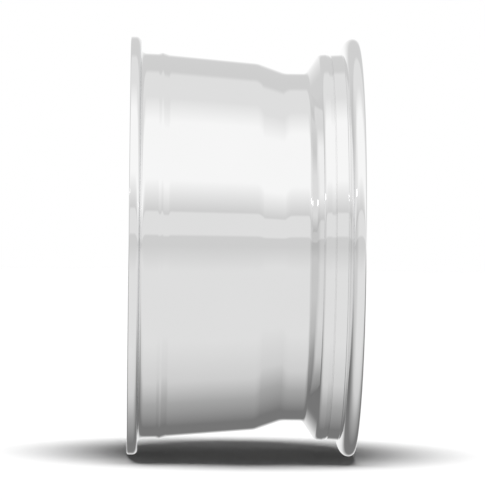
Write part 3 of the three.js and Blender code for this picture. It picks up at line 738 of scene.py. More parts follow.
def chamfered_drill(back: float, front: float, radius: float, chamfer: float) -> bpy.types.Object:
    """A cutting tool for a through hole with a chamfer at both mouths, along the spin axis."""
    far = 4.0
    flare = radius + chamfer + far
    outline = [
        (back - far, 0),
        (back - far, flare),
        (back + chamfer, radius),
        (front - chamfer, radius),
        (front + far, flare),
        (front + far, 0),
    ]
    return lathe("drill", outline, 32)


# ---------------------------------------------------------------------- wheel centre


@dataclass
class Centre:
    """The forged centre: hub pad, five pairs of spokes and the bolt ring."""

    rim: Rim
    contact_gap: float = 0.3
    backspacing: float = 114.3
    ring_thickness: float = 9.0
    pilot_depth: float = 6.0
    hub_thickness: float = 28.0
    hub_pad_radius: float = 76.0
    hub_bore_radius: float = 36.5
    hub_bore_depth: float = 12.0
    cap_bore_radius: float = 31.5
    cap_land_radius: float = 42.0
    lug_land_drop: float = 5.0
    spoke_pairs: int = 5
    spoke_root_thickness: float = 19.0
    spoke_tip_thickness: float = 13.0
    spoke_root_width: float = 17.0
    spoke_tip_width: float = 14.0
    pair_root_half_gap: float = 5.5
    pair_tip_half_gap: float = 15.5
    window_root_margin: float = 5.0
    window_tip_margin: float = 5.0
    window_fillet: float = 7.0
    slot_fillet: float = 4.5
    slot_root_margin: float = 14.0
    lug_count: int = 5
    lug_circle_radius: float = 57.15
    lug_hole_radius: float = 8.0
    lug_pocket_radius: float = 13.0
    lug_floor_thickness: float = 12.0
    edge_round: float = 1.8
    small_edge_round: float = 0.7
    grid: float = 3.0

    def __post_init__(self) -> None:
        """Works out the stations and radii that follow from the sizes."""
        self.ring_back = self.rim.mount_flange_front + self.contact_gap
        self.ring_front = self.ring_back + self.ring_thickness
        self.pilot_radius = self.rim.mount_flange_radius - self.contact_gap
        self.hub_face = self.rim.inboard_edge + self.backspacing
        self.hub_front = self.hub_face + self.hub_thickness
        self.lug_land = self.hub_front - self.lug_land_drop
        self.lug_floor = self.hub_face + self.lug_floor_thickness
        self.root_radius = self.hub_pad_radius + self.window_root_margin
        self.tip_radius = self.pilot_radius - self.window_tip_margin
        self.bore_end = self.hub_face + self.hub_bore_depth

    def front_profile(self) -> np.ndarray:
        """(radius, station) points of the outboard surface, from the bore to the ring's edge."""
        corners = [
            (self.cap_bore_radius, self.hub_front),
            (self.cap_land_radius, self.hub_front, 1.2),
            (self.cap_land_radius + self.lug_land_drop / 2, self.lug_land, 1.2),
            (self.root_radius - 4, self.lug_land, 30),
            (self.tip_radius, self.ring_front, 12),
            (self.rim.centre_ring_radius, self.ring_front),
        ]
        return np.array(filleted(corners, closed=False))

    def back_profile(self) -> np.ndarray:
        """(radius, station) points of the inboard surface, from the bore to the pilot."""
        corners = [
            (self.hub_bore_radius, self.hub_face),
            (self.hub_pad_radius, self.hub_face, 3),
            (self.root_radius, self.lug_land - self.spoke_root_thickness + 4, 12),
            (self.tip_radius, self.ring_front - self.spoke_tip_thickness - 2),
            (self.pilot_radius, self.ring_back - self.pilot_depth),
        ]
        return np.array(filleted(corners, closed=False))

    def _arc(self, radius: float, first: float, last: float, steps: int, fillet: float) -> list[Corner]:
        """Corners along an arc round the spin axis, with fillets at its ends."""
        angles = np.linspace(first, last, steps + 1)
        return [
            (radius * math.cos(a), radius * math.sin(a), fillet if k in (0, steps) else 0.0)
            for k, a in enumerate(angles)
        ]

    def _opening(
        self,
        inner: float,
        root: float,
        tip: float,
        steps: tuple[int, int],
        fillet: float,
    ) -> np.ndarray:
        """The outline, as (x, z) points, of an opening centred on +X between two radii."""
        corners = [
            *self._arc(self.tip_radius, -tip, tip, steps[0], fillet),
            *self._arc(inner, root, -root, steps[1], fillet),
        ]
        return even_loop(np.array(filleted(corners, step=10)), 1.6)

    def windows(self) -> list[np.ndarray]:
        """The outlines of the openings between the pairs of spokes, and of the slots within them."""
        half_pitch = math.pi / self.spoke_pairs
        root = half_pitch - math.asin((self.pair_root_half_gap + self.spoke_root_width) / self.root_radius)
        tip = half_pitch - math.asin((self.pair_tip_half_gap + self.spoke_tip_width) / self.tip_radius)
        window = self._opening(self.root_radius, root, tip, (24, 10), self.window_fillet)
        slot_inner = self.hub_pad_radius + self.slot_root_margin
        slot_root = math.asin(self.pair_root_half_gap / slot_inner)
        slot_tip = math.asin(self.pair_tip_half_gap / self.tip_radius)
        slot = self._opening(slot_inner, slot_root, slot_tip, (8, 2), self.slot_fillet)
        pairs = spaced(self.spoke_pairs, 90)
        return [rotated(window, a + half_pitch) for a in pairs] + [rotated(slot, a) for a in pairs]

    def lug_angles(self) -> list[float]:
        """The studs' angles, in line with the windows."""
        return spaced(self.lug_count, 90 + 180 / self.lug_count)

    def build(self) -> bpy.types.Object:
        """Makes the centre as one closed mesh: two surfaces, joined by a wall round every opening."""
        shell = Shell()
        windows = self.windows()
        bolt_places = [on_circle(self.rim.bolt_circle / MM, a) for a in spaced(self.rim.bolt_count, 90)]
        bolts = [circle(self.rim.bolt_hole_radius, 28, p) for p in bolt_places]
        places = [on_circle(self.lug_circle_radius / MM, a) for a in self.lug_angles()]
        pockets = [circle(self.lug_pocket_radius, 56, p) for p in places]
        lugs = [circle(self.lug_hole_radius, 56, p) for p in places]
        rim_ring, bore, back_bore, pilot = (
            circle(r, n)
            for r, n in (
                (self.rim.centre_ring_radius, 288),
                (self.cap_bore_radius, 120),
                (self.hub_bore_radius, 120),
                (self.pilot_radius, 288),
            )
        )
        big, small = self.edge_round, self.small_edge_round

        front = Face(self.front_profile(), -1, self.grid)
        front.edge(rim_ring, small, outer=True)
        front.edge(bore, small)
        for loop in windows:
            front.edge(loop, big)
        for loop in bolts + pockets:
            front.edge(loop, small)
        top = front.build(shell)

        back = Face(self.back_profile(), 1, self.grid)
        back.edge(pilot, small, outer=True)
        back.edge(back_bore, small)
        for loop in windows:
            back.edge(loop, big)
        for loop in lugs:
            back.edge(loop, small)
        under = back.build(shell)

        ends = (self.pilot_radius, self.rim.centre_ring_radius)
        flat = np.array([(radius, self.ring_back) for radius in ends])
        seat = Face(flat, 1, self.grid)
        seat.edge(rim_ring, small, outer=True)
        seat.edge(pilot, 0.0)
        for loop in bolts:
            seat.edge(loop, small)
        lower = seat.build(shell)

        first_window, first_bolt = 2, 2 + len(windows)
        first_pocket = first_bolt + len(bolts)
        walls(shell, top[0], lower[0])
        walls(shell, under[0], lower[1])
        for k in range(len(windows)):
            walls(shell, top[first_window + k], under[first_window + k])
        for k in range(len(bolts)):
            walls(shell, top[first_bolt + k], lower[2 + k])
        for k, (pocket, lug) in enumerate(zip(pockets, lugs)):
            step = stepped(shell, top[first_pocket + k], pocket, lug, self.lug_floor)
            walls(shell, step, under[first_window + len(windows) + k])
        step = stepped(shell, top[1], bore, back_bore, self.bore_end)
        walls(shell, step, under[1])
        centre = shell.piece("wheel_centre", 40)
        return dress(centre, [MACHINED], Body.ROOT, ["centre"])


def circle(radius: float, count: int, middle: Vector | None = None) -> np.ndarray:
    """A closed loop of (x, z) points on a circle, whose middle is on the spin axis unless given."""
    angles = 2 * np.pi * np.arange(count) / count
    centre = (middle.x, middle.z) if middle is not None else (0.0, 0.0)
    return np.stack([centre[0] + radius * np.cos(angles), centre[1] + radius * np.sin(angles)], 1)


def rotated(loop: np.ndarray, angle: float) -> np.ndarray:
    """A loop turned about the spin axis, from +X towards +Z."""
    c, s = math.cos(angle), math.sin(angle)
    return loop @ np.array([[c, s], [-s, c]])


def even_loop(points: np.ndarray, spacing: float) -> np.ndarray:
    """The same closed outline with points at an even spacing."""
    closed = np.vstack([points, points[:1]])
    run = np.concatenate([[0], np.cumsum(np.linalg.norm(np.diff(closed, axis=0), axis=1))])
    stops = np.linspace(0, run[-1], max(8, round(run[-1] / spacing)), endpoint=False)
    return np.stack([np.interp(stops, run, closed[:, k]) for k in (0, 1)], 1)


def offset_loop(loop: np.ndarray, distance: float) -> np.ndarray:
    """A closed loop moved along its own normals; a positive distance moves it outward."""
    tangent = np.roll(loop, -1, 0) - np.roll(loop, 1, 0)
    tangent /= np.linalg.norm(tangent, axis=1)[:, None]
    area = 0.5 * np.sum(loop[:, 0] * np.roll(loop[:, 1], -1) - np.roll(loop[:, 0], -1) * loop[:, 1])
    outward = np.stack([tangent[:, 1], -tangent[:, 0]], 1) * math.copysign(1, area)
    return loop + outward * distance


def walls(shell: Shell, first: list[int], second: list[int], hold: float = 0.4) -> None:
    """Joins two loops over each other with a wall that has a short edge at each end."""
    a = np.array([shell.points[i] for i in first])
    b = np.array([shell.points[i] for i in second])
    share = hold / max(2.5 * hold, float(np.abs(a[:, 1] - b[:, 1]).mean()))
    near, far = shell.loop(a + (b - a) * share), shell.loop(b + (a - b) * share)
    for pair in ((first, near), (near, far), (far, second)):
        shell.bridge(*pair)


def stepped(
    shell: Shell,
    start: list[int],
    outer: np.ndarray,
    inner: np.ndarray,
    station: float,
) -> list[int]:
    """Runs a wall from a loop to a flat step at a station, and gives the loop at the step's far side."""
    floor = shell.loop([(x, -station, z) for x, z in outer])
    end = shell.loop([(x, -station, z) for x, z in inner])
    walls(shell, start, floor)
    shell.bridge(floor, end)
    return end


# Where an edge's rounding has a row of points, and the width of the first flat row beyond it.
ROUNDING_TURNS = np.radians((25, 45, 62, 77, 90))
FLAT_ROW = 0.35
# The least distance between a surface's rings of points, and the grid's share kept clear by every edge.
LEAST_RING_GAP = 0.12
EDGE_MARGIN = 0.35


@dataclass
class Face:
    """One side of a plate whose height follows the radius, with rounded edges along every opening.

    Attributes:
        profile: (radius, station) points of the surface.
        side: 1 for the inboard side, whose edges round towards outboard, and -1 for the outboard side.
        grid: millimetres between the surface's inner points.
    """

    profile: np.ndarray
    side: int
    grid: float
    loops: list[tuple[np.ndarray, float, bool]] = field(default_factory=list)

    def edge(self, loop: np.ndarray, rounding: float, outer: bool = False) -> None:
        """Adds an edge: the loop, the radius of its rounding, and whether the plate is inside it."""
        self.loops.append((loop, rounding, outer))

    def _rows(self, rounding: float) -> list[float]:
        """How far in from an edge its rows of points lie: those of its rounding, then one on the flat."""
        rows = [0.0]
        if rounding:
            rows += [rounding * (1 - math.cos(a)) for a in ROUNDING_TURNS]
        return [*rows, rows[-1] + FLAT_ROW]

    def _height(self, points: np.ndarray, distances: np.ndarray) -> np.ndarray:
        """The stations of points, lowered where they lie within an edge's rounding."""
        radius = np.linalg.norm(points, axis=1)
        station = np.interp(radius, self.profile[:, 0], self.profile[:, 1])
        for (_, rounding, _), distance in zip(self.loops, distances):
            if rounding:
                inset = np.clip(rounding - distance, 0, rounding)
                station += self.side * (rounding - np.sqrt(rounding**2 - inset**2))
        return station

    def _inside(self, points: np.ndarray, margin: float, distances: np.ndarray) -> np.ndarray:
        """Which points lie on the plate, at least a margin from every edge's rounding."""
        kept = np.ones(len(points), bool)
        for (loop, rounding, outer), distance in zip(self.loops, distances):
            kept &= contains(loop, points) == outer
            kept &= distance > (rounding + margin if margin else -1)
        return kept

    def build(self, shell: Shell) -> list[list[int]]:
        """Adds the surface to a shell.

        Args:
            shell: the mesh that it becomes part of.

        Returns:
            For each edge, in the order they were added, the indices of its loop.
        """
        chains = []
        for loop, rounding, outer in self.loops:
            inward = -1 if outer else 1
            chains += [offset_loop(loop, inward * d) for d in self._rows(rounding)]
        low, high = self.profile[0, 0], self.profile[-1, 0]
        radii = sorted({round(float(r), 2) for r in [*self.profile[:, 0], *np.arange(low, high, self.grid)]})
        rings = [radii[0]]
        for r in radii[1:]:
            if r - rings[-1] > LEAST_RING_GAP:
                rings.append(r)
        lattice = np.vstack([circle(r, max(24, round(2 * math.pi * r / self.grid))) for r in rings])
        margin = self.grid * EDGE_MARGIN
        lattice = lattice[self._inside(lattice, margin, self._distances(lattice))]
        flat = np.vstack([*chains, lattice])
        edges, start = [], 0
        for chain in chains:
            count = len(chain)
            edges += [(start + k, start + (k + 1) % count) for k in range(count)]
            start += count
        made = geometry.delaunay_2d_cdt([Vector(p) for p in flat.tolist()], edges, [], 0, 1e-6)
        points = np.array([tuple(p) for p in made[0]])
        triangles = np.array([t for t in made[2] if len(t) == 3])
        middles = points[triangles].mean(1)
        triangles = triangles[self._inside(middles, 0.0, self._distances(middles))]
        stations = self._height(points, self._distances(points))
        indices = shell.loop(np.stack([points[:, 0], -stations, points[:, 1]], 1))
        for t in triangles:
            shell.faces.append(tuple(indices[i] for i in t))
        origin = {k: out for out, sources in enumerate(made[3]) for k in sources}
        loops, start = [], 0
        for loop, rounding, _ in self.loops:
            loops.append([indices[origin[start + k]] for k in range(len(loop))])
            start += len(loop) * len(self._rows(rounding))
        return loops

    def _distances(self, points: np.ndarray) -> list[np.ndarray]:
        """Each point's distance from each edge."""
        return [distance_to(loop, points) for loop, _, _ in self.loops]


def contains(loop: np.ndarray, points: np.ndarray) -> np.ndarray:
    """Which points lie inside a closed loop."""
    inside = np.zeros(len(points), bool)
    low, high = loop.min(0), loop.max(0)
    near = np.where(((points > low) & (points < high)).all(1))[0]
    p = points[near]
    crossed = np.zeros(len(near), bool)
    for a, b in zip(loop, np.roll(loop, -1, 0)):
        if a[1] != b[1]:
            spans = (a[1] > p[:, 1]) != (b[1] > p[:, 1])
            crossed ^= spans & (p[:, 0] < (b[0] - a[0]) * (p[:, 1] - a[1]) / (b[1] - a[1]) + a[0])
    inside[near] = crossed
    return inside


def distance_to(loop: np.ndarray, points: np.ndarray, reach: float = 8.0) -> np.ndarray:
    """Each point's distance from a closed loop, or the reach where it is further."""
    found = np.full(len(points), reach)
    low, high = loop.min(0) - reach, loop.max(0) + reach
    near = np.where(((points > low) & (points < high)).all(1))[0]
    p = points[near]
    best = np.full(len(near), reach)
    for a, b in zip(loop, np.roll(loop, -1, 0)):
        run = b - a
        share = np.clip(((p - a) @ run) / max(float(run @ run), 1e-12), 0, 1)
        best = np.minimum(best, np.linalg.norm(p - a - share[:, None] * run, axis=1))
    found[near] = best
    return found


# ---------------------------------------------------------------------- assembly fasteners


@dataclass
class Fasteners:
    """The twelve-point bolts and flanged nuts that hold the centre in the rim."""

    rim: Rim
    centre: Centre
    contact_gap: float = 0.3
    shank_radius: float = 3.9
    thread_pitch: float = 1.25
    thread_depth: float = 0.55
    flange_radius: float = 6.5
    flange_thickness: float = 1.8
    head_width: float = 9.3
    head_height: float = 7.6
    dimple_radius: float = 2.6
    tip_length: float = 2.0
    nut_width: float = 12.0
    nut_thickness: float = 8.0
    nut_bore: float = 4.25
    segments: int = 96

    def bolt(self) -> bpy.types.Object:
        """One bolt about the spin axis: threaded shank, washer face and chamfered twelve-point head."""
        seat = self.centre.ring_front + self.contact_gap
        tip = self.rim.mount_flange_back - self.contact_gap - self.nut_thickness - self.tip_length
        star = polygon_radii(self.head_width, self.segments, points=12)
        point = float(star.max())
        top = seat + self.head_height
        foot = seat + self.flange_thickness
        rings: list[tuple[float, float | np.ndarray]] = [(tip, 0.0), (tip, self.shank_radius - 1.2)]
        end = self.rim.mount_flange_back
        rings += thread(tip + 0.6, end, self.shank_radius, self.thread_depth, self.thread_pitch)
        rings += [
            (seat, self.shank_radius),
            (seat, self.flange_radius - 0.3),
            (seat + 0.3, self.flange_radius),
            (foot - 0.6, self.flange_radius),
            (foot - 0.2, self.flange_radius - 0.35),
            (foot, point + 0.15),
            (foot, star),
            (top - 1.0, star),
            (top - 0.55, np.minimum(star, point - 0.25)),
            (top - 0.15, np.minimum(star, point - 0.8)),
            (top, np.minimum(star, point - 1.25)),
            (top, self.dimple_radius + 0.3),
            (top - 0.3, self.dimple_radius),
            (top - 1.1, self.dimple_radius * 0.6),
            (top - 1.2, 0.0),
        ]
        return stacked("bolt", rings, self.segments)

    def nut(self) -> bpy.types.Object:
        """One lock nut about the spin axis: washer face, chamfered hexagon and a crimped collar."""
        front = self.rim.mount_flange_back - self.contact_gap
        back = front - self.nut_thickness
        hexagon = polygon_radii(self.nut_width, self.segments)
        corner = float(hexagon.max())
        rings = [
            (front, self.nut_bore),
            (front, corner - 0.35),
            (front - 0.35, corner),
            (front - 0.35, np.maximum(hexagon, corner - 0.05)),
            (front - 1.0, hexagon),
            (back + 2.6, hexagon),
            (back + 2.1, np.minimum(hexagon, corner - 0.35)),
            (back + 1.8, np.minimum(hexagon, corner - 0.9)),
            (back + 1.8, self.nut_width / 2 - 0.8),
            (back + 0.3, self.nut_width / 2 - 1.0),
            (back, self.nut_width / 2 - 1.4),
            (back, self.nut_bore + 0.4),
            (back + 0.4, self.nut_bore),
        ]
        return stacked("nut", rings, self.segments)

    def build(self) -> None:
        """Makes every bolt and nut, each turned a little, as they end up when torqued."""
        turns = np.random.default_rng(15).uniform(0, 60, (self.rim.bolt_count, 2))
        kinds = (
            ("assembly_bolt", self.bolt(), BRIGHT_STEEL, "bolt_steel", 0),
            ("assembly_nut", self.nut(), NUT_STEEL, "nut_steel", 1),
        )
        for name, pattern, finish, slot, column in kinds:
            for k, angle in enumerate(spaced(self.rim.bolt_count, 90)):
                piece = bpy.data.objects.new(f"{name}_piece_{k + 1:02d}", pattern.data)
                bpy.context.scene.collection.objects.link(piece)
                turn = Matrix.Rotation(math.radians(turns[k, column]), 4, "Y")
                piece.matrix_world = Matrix.Translation(on_circle(self.rim.bolt_circle, angle)) @ turn
                dress(piece, [finish], Body.ROOT, [f"{name}_{k + 1:02d}"])
            bpy.data.objects.remove(pattern)


def thread(back: float, front: float, radius: float, depth: float, pitch: float) -> list[tuple[float, float]]:
    """The rings of a thread's ridges between two stations, crests at a radius."""
    rings = []
    station = back
    while station + pitch < front:
        rings += [
            (station, radius - depth),
            (station + 0.38 * pitch, radius),
            (station + 0.5 * pitch, radius),
            (station + 0.88 * pitch, radius - depth),
        ]
        station += pitch
    return rings


# ---------------------------------------------------------------------- hub pieces


@dataclass
class HubPieces:
    """The wheel-nut seats, the spigot ring and the centre cap."""

    centre: Centre
    contact_gap: float = 0.3
    seat_radius: float = 12.7
    seat_thickness: float = 8.0
    seat_bore_radius: float = 7.4
    seat_mouth_radius: float = 11.0
    spigot_bore_radius: float = 33.05
    spigot_length: float = 10.0
    cap_flange_radius: float = 36.5
    cap_flange_thickness: float = 3.4
    cap_crown: float = 3.0
    cap_skirt_length: float = 12.0
    cap_skirt_wall: float = 3.0
    wire_radius: float = 0.8
    ring_sweep: float = math.radians(330)
    ring_inset: float = 7.0
    seal_radius: float = 0.9
    seal_proud: float = 0.7

    def __post_init__(self) -> None:
        """Works out the places that follow from the sizes."""
        bore = self.centre.cap_bore_radius
        self.underside = self.centre.hub_front + self.seal_proud + self.contact_gap
        self.skirt_radius = bore - self.contact_gap - self.wire_radius / 2
        self.seal_circle = bore + self.contact_gap + 2 * self.seal_radius
        self.ring_station = self.centre.hub_front - self.ring_inset
        self.ring_radius = bore - self.contact_gap - self.wire_radius

    def lug_seats(self) -> None:
        """The steel inserts with 60-degree cones, which take the wheel nuts' load."""
        back = self.centre.lug_floor + self.contact_gap
        front = back + self.seat_thickness
        cone = (self.seat_mouth_radius - self.seat_bore_radius) / math.tan(math.radians(30))
        outline = filleted(
            [
                (back, self.seat_bore_radius, 0.4),
                (back, self.seat_radius, 0.6),
                (front, self.seat_radius, 0.6),
                (front, self.seat_mouth_radius, 0.4),
                (front - cone, self.seat_bore_radius, 0.8),
            ],
            step=15,
        )
        pattern = lathe("seat", outline, 72)
        for k, angle in enumerate(self.centre.lug_angles()):
            piece = bpy.data.objects.new(f"lug_seat_piece_{k + 1}", pattern.data)
            bpy.context.scene.collection.objects.link(piece)
            piece.location = on_circle(self.centre.lug_circle_radius, angle)
            dress(piece, [SEAT_STEEL], Body.ROOT, [f"lug_seat_{k + 1}"])
        bpy.data.objects.remove(pattern)

    def spigot_ring(self) -> None:
        """The ring that centres the wheel on the hub, with a lead-in chamfer."""
        back = self.centre.hub_face + 1
        outer = self.centre.hub_bore_radius - self.contact_gap
        front = back + self.spigot_length
        outline = filleted(
            [
                (back, self.spigot_bore_radius + 1, 0.2),
                (back, outer, 0.4),
                (front, outer, 0.4),
                (front, self.spigot_bore_radius, 0.4),
                (back + 1, self.spigot_bore_radius, 0.2),
            ],
            step=15,
        )
        dress(lathe("hub_ring", outline, 144), [ANODISED], Body.ROOT, ["spigot_ring"])

    def cap(self) -> None:
        """The cap: crowned face with turned steps, and a skirt with a groove for its spring ring."""
        front = self.underside + self.cap_flange_thickness
        skirt_end = self.centre.hub_front - self.cap_skirt_length
        skirt_inner = self.skirt_radius - self.cap_skirt_wall
        half = self.wire_radius + self.contact_gap
        floor = self.ring_radius - self.wire_radius - self.contact_gap
        seal_half = self.seal_radius + self.contact_gap
        seal_floor = self.centre.hub_front + 2 * self.seal_radius + 2 * self.contact_gap
        crown = front + self.cap_crown
        inner_step = self.cap_flange_radius * 0.48
        corners = [
            (self.underside + 1, 0),
            (self.underside + 1, skirt_inner, 1),
            (skirt_end, skirt_inner, 0.4),
            (skirt_end, self.skirt_radius, 0.8),
            (self.ring_station - half, self.skirt_radius, 0.2),
            (self.ring_station - half, floor, 0.3),
            (self.ring_station + half, floor, 0.3),
            (self.ring_station + half, self.skirt_radius, 0.2),
            (self.underside, self.skirt_radius, 0.2),
            (self.underside, self.seal_circle - seal_half, 0.2),
            (seal_floor, self.seal_circle - seal_half, 0.3),
            (seal_floor, self.seal_circle + seal_half, 0.3),
            (self.underside, self.seal_circle + seal_half, 0.2),
            (self.underside, self.cap_flange_radius, 0.4),
            (front, self.cap_flange_radius, 2),
            (front + 1.2, self.cap_flange_radius * 0.82, 4),
            (front + 0.4, self.cap_flange_radius * 0.79, 0.5),
            (front + 0.4, self.cap_flange_radius * 0.74, 0.5),
            (crown - 0.8, inner_step + 3, 6),
            (crown, inner_step, 0.6),
            (crown - 0.7, inner_step - 1, 0.4),
            (crown - 0.7, self.cap_flange_radius * 0.2, 3),
            (crown - 0.4, self.cap_flange_radius * 0.12, 3),
            (crown - 0.4, 0),
        ]
        piece = lathe("cap_shell", filleted(corners, closed=False, step=10), 192)
        dress(piece, [ANODISED], Body.CENTRE_CAP, ["centre_cap"])

    def cap_fittings(self) -> None:
        """The cap's open spring ring and its seal ring."""
        ring = wire(
            "cap_wire_ring",
            lambda t: (
                self.ring_radius * math.cos(self.ring_sweep * (t - 0.5)),
                -self.ring_station,
                self.ring_radius * math.sin(self.ring_sweep * (t - 0.5)),
            ),
            self.wire_radius,
            140,
        )
        dress(ring, [SPRING_STEEL], Body.CENTRE_CAP, ["cap_spring_ring"])
        station = self.centre.hub_front + self.contact_gap + self.seal_radius
        section = [
            (station + self.seal_radius * math.cos(a), self.seal_circle + self.seal_radius * math.sin(a))
            for a in spaced(20, 0)
        ]
        dress(lathe("cap_seal_ring", section, 160), [RUBBER], Body.CENTRE_CAP, ["cap_seal"])

    def build(self) -> None:
        """Makes all the hub's pieces."""
        self.lug_seats()
        self.spigot_ring()
        self.cap()
        self.cap_fittings()


def wire(
    name: str,
    path: Callable[[float], tuple[float, float, float]],
    radius: float,
    steps: int,
) -> bpy.types.Object:
    """A round wire along a path, with slightly rounded ends.

    Args:
        name: the piece's name.
        path: gives a point for a share of the way, 0 to 1.
        radius: the wire's radius.
        steps: sections along it.

    Returns:
        The object.
    """
    shell = Shell()
    points = [Vector(path(k / steps)) for k in range(steps + 1)]
    sides = 14
    loops = []
    guide = Vector((0, 1, 0))
    for k, point in enumerate(points):
        along = (points[min(k + 1, steps)] - points[max(k - 1, 0)]).normalized()
        across = along.cross(guide).normalized()
        up = across.cross(along)
        ring = [point + (across * math.cos(a) + up * math.sin(a)) * radius for a in spaced(sides, 0)]
        loops.append(shell.loop(ring))
    for first, second in zip(loops, loops[1:]):
        shell.bridge(first, second)
    for loop, point in ((loops[0], points[0]), (loops[-1], points[-1])):
        shell.bridge(loop, shell.loop([point]))
    return shell.piece(name)


# ---------------------------------------------------------------------- tyre valve


@dataclass
class Valve:
    """The clamp-in tyre valve. Its stations run along its own axis, from the tyre side of the wall."""

    rim: Rim
    contact_gap: float = 0.3
    bore_clearance: float = 0.35
    angle: float = math.radians(-18)
    hole_radius: float = 5.75
    spotface_radius: float = 8.6
    spotface_depth: float = 0.5
    stem_radius: float = 4.0
    stem_length: float = 38.0
    head_radius: float = 7.0
    head_thickness: float = 3.0
    passage_radius: float = 1.3
    chamber_depth: float = 22.0
    grommet_radius: float = 7.6
    grommet_thickness: float = 2.5
    grommet_sleeve_length: float = 3.0
    washer_radius: float = 7.4
    washer_thickness: float = 1.2
    nut_width: float = 12.0
    nut_thickness: float = 5.0
    core_radius: float = 2.3
    core_wall: float = 0.8
    core_length: float = 13.0
    core_shoulder: float = 1.5
    pin_radius: float = 0.5
    pin_head_radius: float = 1.2
    pin_head_length: float = 1.0
    pin_plug_radius: float = 1.9
    pin_plug_length: float = 2.0
    pin_travel: float = 1.5
    spring_wire_radius: float = 0.2
    spring_turns: int = 5
    cap_wall: float = 0.8
    cap_length: float = 13.0
    cap_top: float = 1.2
    cap_seal_thickness: float = 1.2

    def __post_init__(self) -> None:
        """Works out the places that follow from the sizes."""
        self.tyre_seat = self.spotface_depth - self.contact_gap
        self.dish_seat = self.rim.wall - self.spotface_depth + self.contact_gap
        self.chamber_radius = self.core_radius + self.contact_gap
        self.core_top = self.stem_length - 1
        self.core_bottom = self.core_top - self.core_length
        self.core_bore = self.core_radius - self.core_wall
        self.pin_top = self.core_top + 0.6
        self.seal_back = max(self.stem_length, self.pin_top) + self.contact_gap

    def placement(self) -> Matrix:
        """The valve's own frame: through the middle of the drop centre's wall, square to it."""
        station = (self.rim.well_end + self.rim.hump_end) / 2
        radius = self.rim.well_radius + (self.rim.well_depth + self.rim.hump_height / 2) / 2
        lean = Matrix.Rotation(self.rim.well_wall_angle - math.pi / 2, 4, "Z")
        move = Matrix.Translation(Vector((radius, -station, 0)) * MM)
        return Matrix.Rotation(-self.angle, 4, "Y") @ move @ lean

    def cutters(self) -> list[bpy.types.Object]:
        """The valve's hole and its two spot faces, as cutting tools."""
        wall = self.rim.wall
        far = 5.0
        tools = []
        for back, front, radius in (
            (-far, wall + far, self.hole_radius),
            (-far, self.spotface_depth, self.spotface_radius),
            (wall - self.spotface_depth, wall + far, self.spotface_radius),
        ):
            tool = lathe("valve_cut", [(back, 0), (back, radius), (front, radius), (front, 0)], 72)
            tool.matrix_world = self.placement()
            tools.append(tool)
        return tools

    def _fit(
        self,
        piece: bpy.types.Object,
        finish: Metal | MouldedRubber,
        body: Body,
        node: str,
    ) -> bpy.types.Object:
        """Puts a piece of the valve in its place and dresses it."""
        piece.matrix_world = self.placement()
        return dress(piece, [finish], body, [node])

    def stem(self) -> None:
        """The stem: domed head on the tyre side, threaded shank, and a chamber for the core."""
        head_front = self.tyre_seat - self.grommet_thickness - self.contact_gap
        head_back = head_front - self.head_thickness
        floor = self.stem_length - self.chamber_depth
        start = filleted(
            [
                (floor, self.passage_radius),
                (head_back, self.passage_radius, 0.4),
                (head_back, self.head_radius, 1.2),
                (head_front, self.head_radius, 0.3),
                (head_front, self.stem_radius, 0.4),
                (self.dish_seat, self.stem_radius),
            ],
            closed=False,
            step=12,
        )
        ridges = thread(self.dish_seat + 0.5, self.stem_length - 0.8, self.stem_radius, 0.35, 0.8)
        end = [
            (self.stem_length - 0.5, self.stem_radius - 0.35),
            (self.stem_length, self.stem_radius - 0.7),
            (self.stem_length, self.chamber_radius + 0.2),
            (self.stem_length - 0.2, self.chamber_radius),
            (floor, self.chamber_radius),
        ]
        piece = lathe("stem_piece", [*start, *ridges, *end], 64)
        self._fit(piece, NICKEL, Body.ROOT, "valve_stem")

    def clamping(self) -> None:
        """The grommet, washer and nut that clamp the stem in the wall."""
        bore = self.stem_radius + self.contact_gap
        sleeve = self.hole_radius - self.contact_gap
        back = self.tyre_seat - self.grommet_thickness
        grommet = filleted(
            [
                (back, bore, 0.3),
                (back, self.grommet_radius, 0.9),
                (self.tyre_seat, self.grommet_radius, 0.3),
                (self.tyre_seat, sleeve, 0.2),
                (self.tyre_seat + self.grommet_sleeve_length, sleeve, 0.5),
                (self.tyre_seat + self.grommet_sleeve_length, bore, 0.2),
            ],
            step=15,
        )
        self._fit(lathe("grommet_piece", grommet, 72), RUBBER, Body.ROOT, "valve_grommet")
        hole = self.stem_radius + self.bore_clearance
        top = self.dish_seat + self.washer_thickness
        washer = filleted(
            [
                (self.dish_seat, hole, 0.15),
                (self.dish_seat, self.washer_radius, 0.15),
                (top, self.washer_radius, 0.35),
                (top, hole, 0.15),
            ],
            step=20,
        )
        self._fit(lathe("washer_piece", washer, 72), BRIGHT_STEEL, Body.ROOT, "valve_washer")
        hexagon = polygon_radii(self.nut_width, 96)
        corner = float(hexagon.max())
        low, high = top + self.contact_gap, top + self.contact_gap + self.nut_thickness
        rings = [
            (low, hole),
            (low, np.minimum(hexagon, corner - 0.9)),
            (low + 0.3, np.minimum(hexagon, corner - 0.35)),
            (low + 0.8, hexagon),
            (high - 0.8, hexagon),
            (high - 0.3, np.minimum(hexagon, corner - 0.35)),
            (high, np.minimum(hexagon, corner - 0.9)),
            (high, hole + 0.4),
            (high - 0.4, hole),
        ]
        self._fit(stacked("valve_nut_piece", rings, 96), NICKEL, Body.ROOT, "valve_nut")

